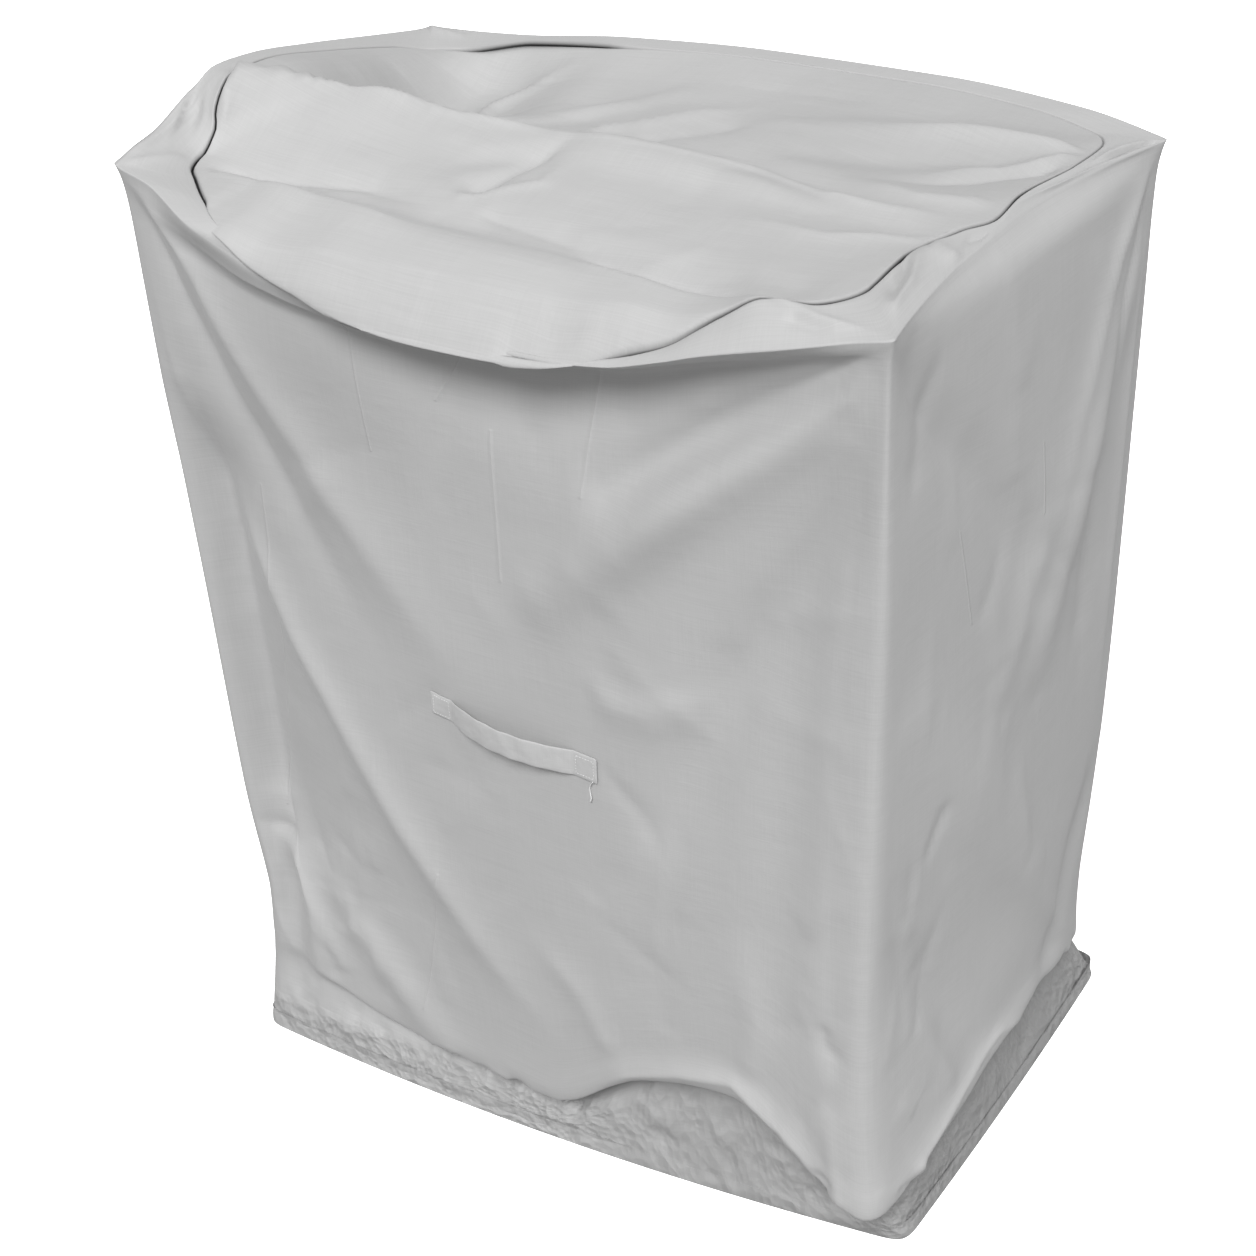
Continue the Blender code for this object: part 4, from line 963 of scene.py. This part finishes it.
# %% The weave group
def weave_group():
    """Height and tone of the weave: two noises, one stretched along u and one along v, added together."""
    group, given, result = new_group(
        "plain_weave", (("Cloth", "NodeSocketVector", None), ("Threads", "NodeSocketFloat", 900.0)),
        ("Height", "Tone"))
    tree = group
    noises = []
    for stretch in ((0.012, 1.0, 1.0), (1.0, 0.012, 1.0)):
        mapping = add_node(tree, "ShaderNodeMapping")
        mapping.inputs["Scale"].default_value = stretch
        tree.links.new(given.outputs["Cloth"], mapping.inputs["Vector"])
        noise = add_node(tree, "ShaderNodeTexNoise", Detail=2.0, Roughness=0.6)
        tree.links.new(mapping.outputs["Vector"], noise.inputs["Vector"])
        tree.links.new(given.outputs["Threads"], noise.inputs["Scale"])
        noises.append(noise.outputs["Fac"])
    tree.links.new(add_math(tree, "ADD", *noises), result.inputs["Height"])
    tone = add_math(tree, "MULTIPLY_ADD", noises[0], 0.65, add_math(tree, "MULTIPLY", noises[1], 0.35))
    tree.links.new(tone, result.inputs["Tone"])
    return group


# %% The crumple group
def crumple_group():
    """Height of crumpled cloth: cones round Voronoi points at two sizes, on a map bent by noise."""
    group, given, result = new_group(
        "crumpled_film", (("Cloth", "NodeSocketVector", None), ("Cells", "NodeSocketFloat", 34.0)), ("Height",))
    tree = group
    bend = add_node(tree, "ShaderNodeTexNoise", Scale=9.0, Detail=2.0)
    tree.links.new(given.outputs["Cloth"], bend.inputs["Vector"])
    shift = add_node(tree, "ShaderNodeVectorMath", operation="MULTIPLY")
    shift.inputs[1].default_value = (0.05, 0.05, 0.0)
    tree.links.new(bend.outputs["Color"], shift.inputs[0])
    place = add_node(tree, "ShaderNodeVectorMath", operation="ADD")
    tree.links.new(given.outputs["Cloth"], place.inputs[0])
    tree.links.new(shift.outputs["Vector"], place.inputs[1])
    heights = []
    for factor, weight in ((1.0, 0.7), (2.7, 0.3)):
        cells = add_node(tree, "ShaderNodeTexVoronoi", voronoi_dimensions="2D")
        tree.links.new(place.outputs["Vector"], cells.inputs["Vector"])
        tree.links.new(add_math(tree, "MULTIPLY", given.outputs["Cells"], factor), cells.inputs["Scale"])
        heights.append(add_math(tree, "MULTIPLY", cells.outputs["Distance"], weight))
    tree.links.new(add_math(tree, "ADD", *heights), result.inputs["Height"])
    return group


# %% The packing crease group
def packing_group():
    """Height of one straight crease: 1 on the line between two places of the map, 0 one width away."""
    group, given, result = new_group(
        "packing_crease", (("Cloth", "NodeSocketVector", None), ("Start", "NodeSocketVector", None),
                           ("End", "NodeSocketVector", None), ("Width", "NodeSocketFloat", 0.004)), ("Height",))
    tree = group

    def vector(operation, first, second, output="Vector"):
        node = add_node(tree, "ShaderNodeVectorMath", operation=operation)
        tree.links.new(first, node.inputs[0])
        if second is not None:
            tree.links.new(second, node.inputs["Scale"] if operation == "SCALE" else node.inputs[1])
        return node.outputs[output]

    line = vector("SUBTRACT", given.outputs["End"], given.outputs["Start"])
    place = vector("SUBTRACT", given.outputs["Cloth"], given.outputs["Start"])
    share = add_math(tree, "DIVIDE", vector("DOT_PRODUCT", place, line, "Value"),
                     vector("DOT_PRODUCT", line, line, "Value"), clamp=True)
    foot = vector("SCALE", line, share)
    distance = vector("DISTANCE", place, foot, "Value")
    fall = add_math(tree, "SUBTRACT", 1.0, add_math(tree, "DIVIDE", distance, given.outputs["Width"]), clamp=True)
    tree.links.new(add_math(tree, "MULTIPLY", fall, fall), result.inputs["Height"])
    return group


weave = weave_group()
crumpled = crumple_group()
packing = packing_group()
print("groups:", weave.name, crumpled.name, packing.name)

# %% [markdown]
# ## One material for each piece
# The pieces share their cloth but not their values: the top panel lies flat and is a little lighter,
# the strap is folded double and shows more of its weave. The material adds the heights of its groups
# and turns the sum into a Bump, which is the usual way to give cloth relief that a mesh is too coarse
# for. Slow noise on the object's own coordinates makes the colour uneven, as dust and handling do.

# %% The cloth material
def cloth_material(name, colour, roughness, crumple_relief, threads=900.0, creases=()):
    """Coated cloth: weave streaks, slow stains, crumpled film, packing creases and painted shade over one colour."""
    material = bpy.data.materials.new(name)
    material.use_nodes = True
    tree = material.node_tree
    shader = tree.nodes["Principled BSDF"]
    shader.inputs["Specular IOR Level"].default_value = 0.40
    shader.inputs["Sheen Weight"].default_value = 0.12
    shader.inputs["Sheen Roughness"].default_value = 0.5
    cloth = add_node(tree, "ShaderNodeUVMap", uv_map="cloth").outputs["UV"]
    threads_node = add_node(tree, "ShaderNodeGroup", node_tree=weave)
    threads_node.inputs["Threads"].default_value = threads
    tree.links.new(cloth, threads_node.inputs["Cloth"])
    film = add_node(tree, "ShaderNodeGroup", node_tree=crumpled)
    tree.links.new(cloth, film.inputs["Cloth"])
    amount = add_node(tree, "ShaderNodeAttribute", attribute_name="crumple").outputs["Fac"]
    shade = add_node(tree, "ShaderNodeAttribute", attribute_name="shade").outputs["Fac"]

    pressed = 0.0
    for start, end, width in creases:
        crease = add_node(tree, "ShaderNodeGroup", node_tree=packing)
        crease.inputs["Start"].default_value = (*start, 0.0)
        crease.inputs["End"].default_value = (*end, 0.0)
        crease.inputs["Width"].default_value = width
        tree.links.new(cloth, crease.inputs["Cloth"])
        pressed = add_math(tree, "ADD", crease.outputs["Height"], pressed)

    stain = add_node(tree, "ShaderNodeTexNoise", Scale=3.2, Detail=4.0, Roughness=0.62)
    place = add_node(tree, "ShaderNodeTexCoord").outputs["Object"]
    tree.links.new(place, stain.inputs["Vector"])
    tone = add_math(tree, "MULTIPLY_ADD", threads_node.outputs["Tone"], 0.26, 0.79)
    tone = add_math(tree, "MULTIPLY", tone, add_math(tree, "MULTIPLY_ADD", stain.outputs["Fac"], 0.14, 0.93))
    tone = add_math(tree, "MULTIPLY_ADD", pressed, 0.05, tone)
    # painted shade: crumpled cloth is drawn darker, most of all on the skirt below the sagging cloth
    tone = add_math(tree, "MULTIPLY", tone, add_math(tree, "MULTIPLY_ADD", amount, -0.13, 1.01))
    # painted shade: the shade value darkens the colour along the seam, in the top's pocket and on the right skirt
    tone = add_math(tree, "MULTIPLY", tone, add_math(tree, "MULTIPLY_ADD", shade, -2.0, 1.0, clamp=True))
    tint = add_node(tree, "ShaderNodeMix", data_type="RGBA", blend_type="MULTIPLY")
    tint.inputs["Factor"].default_value = 1.0
    tint.inputs["A"].default_value = (*colour, 1.0)
    tree.links.new(tone, tint.inputs["B"])
    tree.links.new(tint.outputs["Result"], shader.inputs["Base Color"])

    gloss = add_math(tree, "MULTIPLY_ADD", amount, -0.16, roughness + 0.04)
    gloss = add_math(tree, "MULTIPLY_ADD", threads_node.outputs["Tone"], 0.08, gloss)
    tree.links.new(gloss, shader.inputs["Roughness"])

    relief = add_math(tree, "MULTIPLY", film.outputs["Height"], add_math(tree, "MULTIPLY", amount, crumple_relief))
    relief = add_math(tree, "MULTIPLY_ADD", threads_node.outputs["Height"], 0.00012, relief)
    relief = add_math(tree, "MULTIPLY_ADD", pressed, 0.0009, relief)
    bump = add_node(tree, "ShaderNodeBump", Strength=0.8, Distance=1.0)
    tree.links.new(relief, bump.inputs["Height"])
    tree.links.new(bump.outputs["Normal"], shader.inputs["Normal"])
    return material


# %% [markdown]
# The packing creases are read from the picture as lines on the flat cloth. The map counts down from the
# seam, so a height above the floor is turned into a place on the map by the column's own length.

# %% Packing creases on the sleeve
sleeve_down = column_lengths(sleeve)
front_column = int(np.argmin(np.abs(stations - 0.45)))
column_heights = sleeve[: len(rows), front_column, 2]


def map_place(station, height):
    """Place on the cloth's map of a station and a height above the floor."""
    lower = np.arange(len(rows)) >= np.searchsorted(rows, 1.0)
    order = np.argsort(column_heights[lower])
    return station, -float(np.interp(height, column_heights[lower][order], sleeve_down[: len(rows)][lower][order]))


PACKING_CREASES = (
    # from (station, height) to (station, height), width
    ((0.125, 0.776), (0.120, 0.600), 0.004), ((0.120, 0.600), (0.045, 0.320), 0.003),
    ((0.439, 1.015), (0.395, 0.933), 0.004),
    ((0.334, 0.345), (0.270, 0.127), 0.004), ((0.459, 0.913), (0.459, 0.748), 0.005),
    ((0.589, 1.020), (0.564, 0.864), 0.005), ((1.203, 0.860), (1.208, 0.790), 0.003),
    ((1.033, 0.844), (1.063, 0.734), 0.003), ((0.300, 1.000), (0.305, 0.860), 0.003),
)
creases_on_map = [(map_place(*start), map_place(*end), width) for start, end, width in PACKING_CREASES]
sleeve_material = cloth_material("sleeve_coated_cloth", (0.460, 0.460, 0.460), 0.54, 0.0085, creases=creases_on_map)
top_material = cloth_material("top_coated_cloth", (0.470, 0.470, 0.470), 0.52, 0.006)
strap_material = cloth_material("strap_coated_cloth", (0.52, 0.52, 0.52), 0.60, 0.004, threads=1400.0)
print(len(creases_on_map), "packing creases; the first starts at", np.round(creases_on_map[0][0], 3))

# %% The sleeve and the top panel
sleeve_piece = add_piece("sleeve_cloth", sleeve_mesh, sleeve_material)
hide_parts("side_sleeve")
top_piece = add_piece("top_cloth", top_mesh, top_material)
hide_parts("top_panel")
print("sleeve and top panel in place")

# %% [markdown]
# ## The pull strap
# The strap is a strip of the same cloth, folded to three layers and sewn down at both ends. Between
# them it bows out far enough for a hand, and its right end hangs lower than its left. It is drawn as a
# flat closed tube: a path along the strap, and round it a cross-section with rounded edges. How far the
# front reaches at each place is measured with rays, so that the sewn ends lie on the cloth.

# %% The shape of the strap
STRAP_MIDDLE = (0.014, 0.563)
STRAP_LENGTH = 0.216
STRAP_HEIGHT = 0.030
STRAP_DROP = 0.020
STRAP_SEWN = 0.030
STRAP_BOW = 0.014
STRAP_THICKNESS = 0.0024
STRAP_GAP = 0.0004


def front_reach(grid, x, z):
    """How far forward the sleeve reaches at each place of its front, found with rays along Y."""
    index = np.arange(grid.shape[0] * grid.shape[1]).reshape(grid.shape[:2])
    front = index[:, :SIDE_COLUMNS[0]]
    quads = np.stack([front[:-1, :-1], front[1:, :-1], front[1:, 1:], front[:-1, 1:]], axis=-1).reshape(-1, 4)
    tree = BVHTree.FromPolygons(grid.reshape(-1, 3).tolist(), quads.tolist())
    hits = [tree.ray_cast(Vector((px, -1.0, pz)), Vector((0, 1, 0)))[0].y for px, pz in zip(x.ravel(), z.ravel())]
    return np.array(hits).reshape(x.shape)


def strap_grid():
    """Sections round the strap, from end to end: its path bows out by a rounded sine between the sewn ends."""
    half = STRAP_LENGTH / 2
    along = np.linspace(-half + 0.002, half - 0.002, 90)
    along = np.concatenate([[-half, -half + 0.0005], along, [half - 0.0005, half]])
    turn = np.linspace(0, 2 * np.pi, 41)[:-1]
    across = np.sign(np.cos(turn)) * np.abs(np.cos(turn)) ** 0.55
    thick = np.sign(np.sin(turn)) * np.abs(np.sin(turn)) ** 0.75
    ends = np.clip((half - np.abs(along)) / 0.002, 0.05, 1) ** 0.5
    height = STRAP_HEIGHT * (1 - 0.10 * smooth_step((-along - 0.055) / 0.04))
    x = STRAP_MIDDLE[0] + np.repeat(along[:, None], len(turn), axis=1)
    z = STRAP_MIDDLE[1] + across[None] * (height * (0.94 + 0.06 * ends) / 2)[:, None]
    z -= STRAP_DROP * (along / STRAP_LENGTH)[:, None]
    rest = front_reach(sleeve, x, z)
    free = half - STRAP_SEWN
    lift = (np.sin(np.pi / 2 * np.clip((free - np.abs(along)) / free, 0, 1)) ** 0.8)[:, None]
    ripple = 0.0006 * np.sin(along * 210)[:, None] * across[None] * lift
    middle = (1 - lift) * rest + lift * (rest.min() - STRAP_BOW) - STRAP_GAP - STRAP_THICKNESS / 2 + ripple
    y = middle - thick[None] * STRAP_THICKNESS / 2 * ends[:, None]
    return np.stack([x, y, z], axis=-1), along


def strap_mesh(grid, along):
    """The strap's tube closed at both ends, with the cloth's map along it and across it."""
    count, turn = grid.shape[:2]
    index = np.arange(count * turn).reshape(count, turn)
    closed = np.concatenate([index, index[:, :1]], axis=1)
    quads = np.stack([closed[:-1, :-1], closed[1:, :-1], closed[1:, 1:], closed[:-1, 1:]], axis=-1).reshape(-1, 4)
    mesh = bpy.data.meshes.new("strap_cloth")
    mesh.from_pydata(grid.reshape(-1, 3).tolist(), [], quads.tolist() + [index[0, ::-1].tolist(), index[-1].tolist()])
    points = grid.reshape(-1, 3)
    corner_points = np.empty(len(mesh.loops), dtype=np.int32)
    mesh.loops.foreach_get("vertex_index", corner_points)
    layer = mesh.uv_layers.new(name="cloth")
    layer.data.foreach_set("uv", points[corner_points][:, (0, 2)].reshape(-1).astype(np.float32))
    add_values(mesh, "crumple", np.full(len(points), 0.4))
    mesh.shade_smooth()
    return mesh


strap, strap_along = strap_grid()
strap_piece = add_piece("strap_cloth", strap_mesh(strap, strap_along), strap_material)
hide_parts("pull_strap")
print("strap from", strap.min(axis=(0, 1)).round(4), "to", strap.max(axis=(0, 1)).round(4))

# %% [markdown]
# ## Stitches and a loose thread
# A row of stitches holds the hem, and a small box of them holds each end of the strap. A stitch is no
# longer than a grain of rice, so each is only an eight-sided bead that lies along its seam, and all the
# stitches of a seam are one object. Where each one lies is measured on the finished cloth. At the right
# end of the strap, the last thread was never cut off.

# %% The stitches
STITCH_PITCH = 0.0042
STITCH_HALF = 0.0015
STITCH_WIDE = 0.0004


def stitches_mesh(name, places, directions, outward):
    """One mesh of closed eight-sided beads: each is long along its seam and thin across it."""
    side = np.cross(outward, directions) * STITCH_WIDE
    tips = directions * STITCH_HALF
    up = outward * STITCH_WIDE
    points = np.stack([places - tips, places + side, places + tips, places - side, places + up, places - up], axis=1)
    faces = np.array(((0, 1, 4), (1, 2, 4), (2, 3, 4), (3, 0, 4), (1, 0, 5), (2, 1, 5), (3, 2, 5), (0, 3, 5)))
    all_faces = (np.arange(len(places)) * 6)[:, None, None] + faces[None]
    mesh = bpy.data.meshes.new(name)
    mesh.from_pydata(points.reshape(-1, 3).tolist(), [], all_faces.reshape(-1, 3).tolist())
    return mesh


def evenly_along(line, pitch):
    """Places at even steps along a line of points, and the line's direction at each."""
    lengths = np.concatenate([[0.0], np.cumsum(np.linalg.norm(np.diff(line, axis=0), axis=1))])
    at = np.arange(pitch / 2, lengths[-1], pitch)
    read = [np.column_stack([np.interp(at + shift, lengths, line[:, axis]) for axis in range(3)])
            for shift in (0.0, -0.001, 0.001)]
    directions = read[2] - read[1]
    return read[0], directions / np.linalg.norm(directions, axis=1, keepdims=True)


def hem_line(grid):
    """The closed line on the outside of the sleeve at the height of the hem's stitches."""
    foot = grid[len(rows) - 24: len(rows)][::-1]
    line = [[np.interp(HEM_HEIGHT, foot[:, column, 2], foot[:, column, axis]) for axis in (0, 1)] + [HEM_HEIGHT]
            for column in range(grid.shape[1])]
    return np.array(line + line[:1])


def strap_box(tree, end):
    """The closed line of a box of stitches on the front of the strap, at its left end, -1, or right end, 1."""
    outer, inner = end * (STRAP_LENGTH / 2 - 0.004), end * (STRAP_LENGTH / 2 - 0.026)
    corners = ((outer, -0.0105), (inner, -0.0105), (inner, 0.0105), (outer, 0.0105), (outer, -0.0105))
    line = []
    for (a, c), (b, d) in zip(corners[:-1], corners[1:]):
        for share in np.linspace(0, 1, 6)[:-1]:
            along, across = a + (b - a) * share, c + (d - c) * share
            x = STRAP_MIDDLE[0] + along
            z = STRAP_MIDDLE[1] + across - STRAP_DROP * along / STRAP_LENGTH
            line.append((x, tree.ray_cast(Vector((x, -1.0, z)), Vector((0, 1, 0)))[0].y, z))
    return np.array(line + line[:1])


def thread_material(name, tone):
    """Sewing thread: a fine twist as stripes in its colour and relief, slightly glossy."""
    material = bpy.data.materials.new(name)
    material.use_nodes = True
    tree = material.node_tree
    shader = tree.nodes["Principled BSDF"]
    shader.inputs["Roughness"].default_value = 0.45
    place = add_node(tree, "ShaderNodeTexCoord").outputs["Object"]
    twist = add_node(tree, "ShaderNodeTexWave", Scale=700.0, Distortion=1.5, Detail=1.0)
    twist.bands_direction = "DIAGONAL"
    tree.links.new(place, twist.inputs["Vector"])
    ramp = add_node(tree, "ShaderNodeMix", data_type="RGBA")
    ramp.inputs["A"].default_value = (tone * 0.75, tone * 0.75, tone * 0.75, 1.0)
    ramp.inputs["B"].default_value = (tone, tone, tone, 1.0)
    tree.links.new(twist.outputs["Fac"], ramp.inputs["Factor"])
    tree.links.new(ramp.outputs["Result"], shader.inputs["Base Color"])
    bump = add_node(tree, "ShaderNodeBump", Strength=0.5, Distance=0.0002)
    tree.links.new(twist.outputs["Fac"], bump.inputs["Height"])
    tree.links.new(bump.outputs["Normal"], shader.inputs["Normal"])
    return material


hem_places, hem_directions = evenly_along(hem_line(sleeve), STITCH_PITCH)
hem_outward = np.cross(hem_directions, (0.0, 0.0, 1.0))
hem_thread = thread_material("hem_thread", 0.36)
hem_stitches = add_piece("hem_stitches", stitches_mesh("hem_stitches", hem_places, hem_directions, hem_outward),
                         hem_thread)

strap_tree = BVHTree.FromPolygons([vertex.co for vertex in strap_piece.data.vertices],
                                  [polygon.vertices for polygon in strap_piece.data.polygons])
boxes = [evenly_along(strap_box(strap_tree, end), 0.0036) for end in (-1, 1)]
box_places, box_directions = (np.concatenate(parts) for parts in zip(*boxes))
box_outward = np.broadcast_to((0.0, -1.0, 0.0), box_places.shape)
strap_thread = thread_material("strap_thread", 0.80)
strap_stitches = add_piece("strap_stitches", stitches_mesh("strap_stitches", box_places, box_directions, box_outward),
                           strap_thread)
print(len(hem_places), "stitches in the hem and", len(box_places), "on the strap")


# %% The loose thread
THREAD_RADIUS = 0.0007


def loose_thread_mesh():
    """A thin closed tube that hangs down the cloth from the strap's lower right corner, bent a little."""
    share = np.linspace(0, 1, 14)
    x = STRAP_MIDDLE[0] + STRAP_LENGTH / 2 - 0.004 - 0.008 * share - 0.003 * np.sin(share * 5)
    z = STRAP_MIDDLE[1] - STRAP_DROP / 2 - 0.012 - 0.027 * share
    y = front_reach(sleeve, x, z) - STRAP_GAP - THREAD_RADIUS - 0.0028 * (1 - smooth_step(share * 3)) - 0.002 * share
    turn = np.linspace(0, 2 * np.pi, 7)[:-1]
    ring = np.stack([np.cos(turn), np.sin(turn), np.zeros(6)], axis=1) * THREAD_RADIUS
    points = np.column_stack([x, y, z])[:, None, :] + ring[None]
    index = np.arange(14 * 6).reshape(14, 6)
    closed = np.concatenate([index, index[:, :1]], axis=1)
    quads = np.stack([closed[:-1, :-1], closed[1:, :-1], closed[1:, 1:], closed[:-1, 1:]], axis=-1).reshape(-1, 4)
    mesh = bpy.data.meshes.new("loose_thread")
    mesh.from_pydata(points.reshape(-1, 3).tolist(), [],
                     quads.tolist() + [index[0].tolist(), index[-1, ::-1].tolist()])
    mesh.shade_smooth()
    return mesh


loose_thread = add_piece("loose_thread", loose_thread_mesh(), strap_thread)
print("loose thread hangs down to", round(min(vertex.co.z for vertex in loose_thread.data.vertices), 4))

# %% [markdown]
# ## The sheets
# The sleeve is a long band, the top panel a rounded rectangle, and the strap a narrow strip that is
# folded before it is sewn on.

# %% The sheets
print("the cover has three sheets: sleeve, top panel and strap")
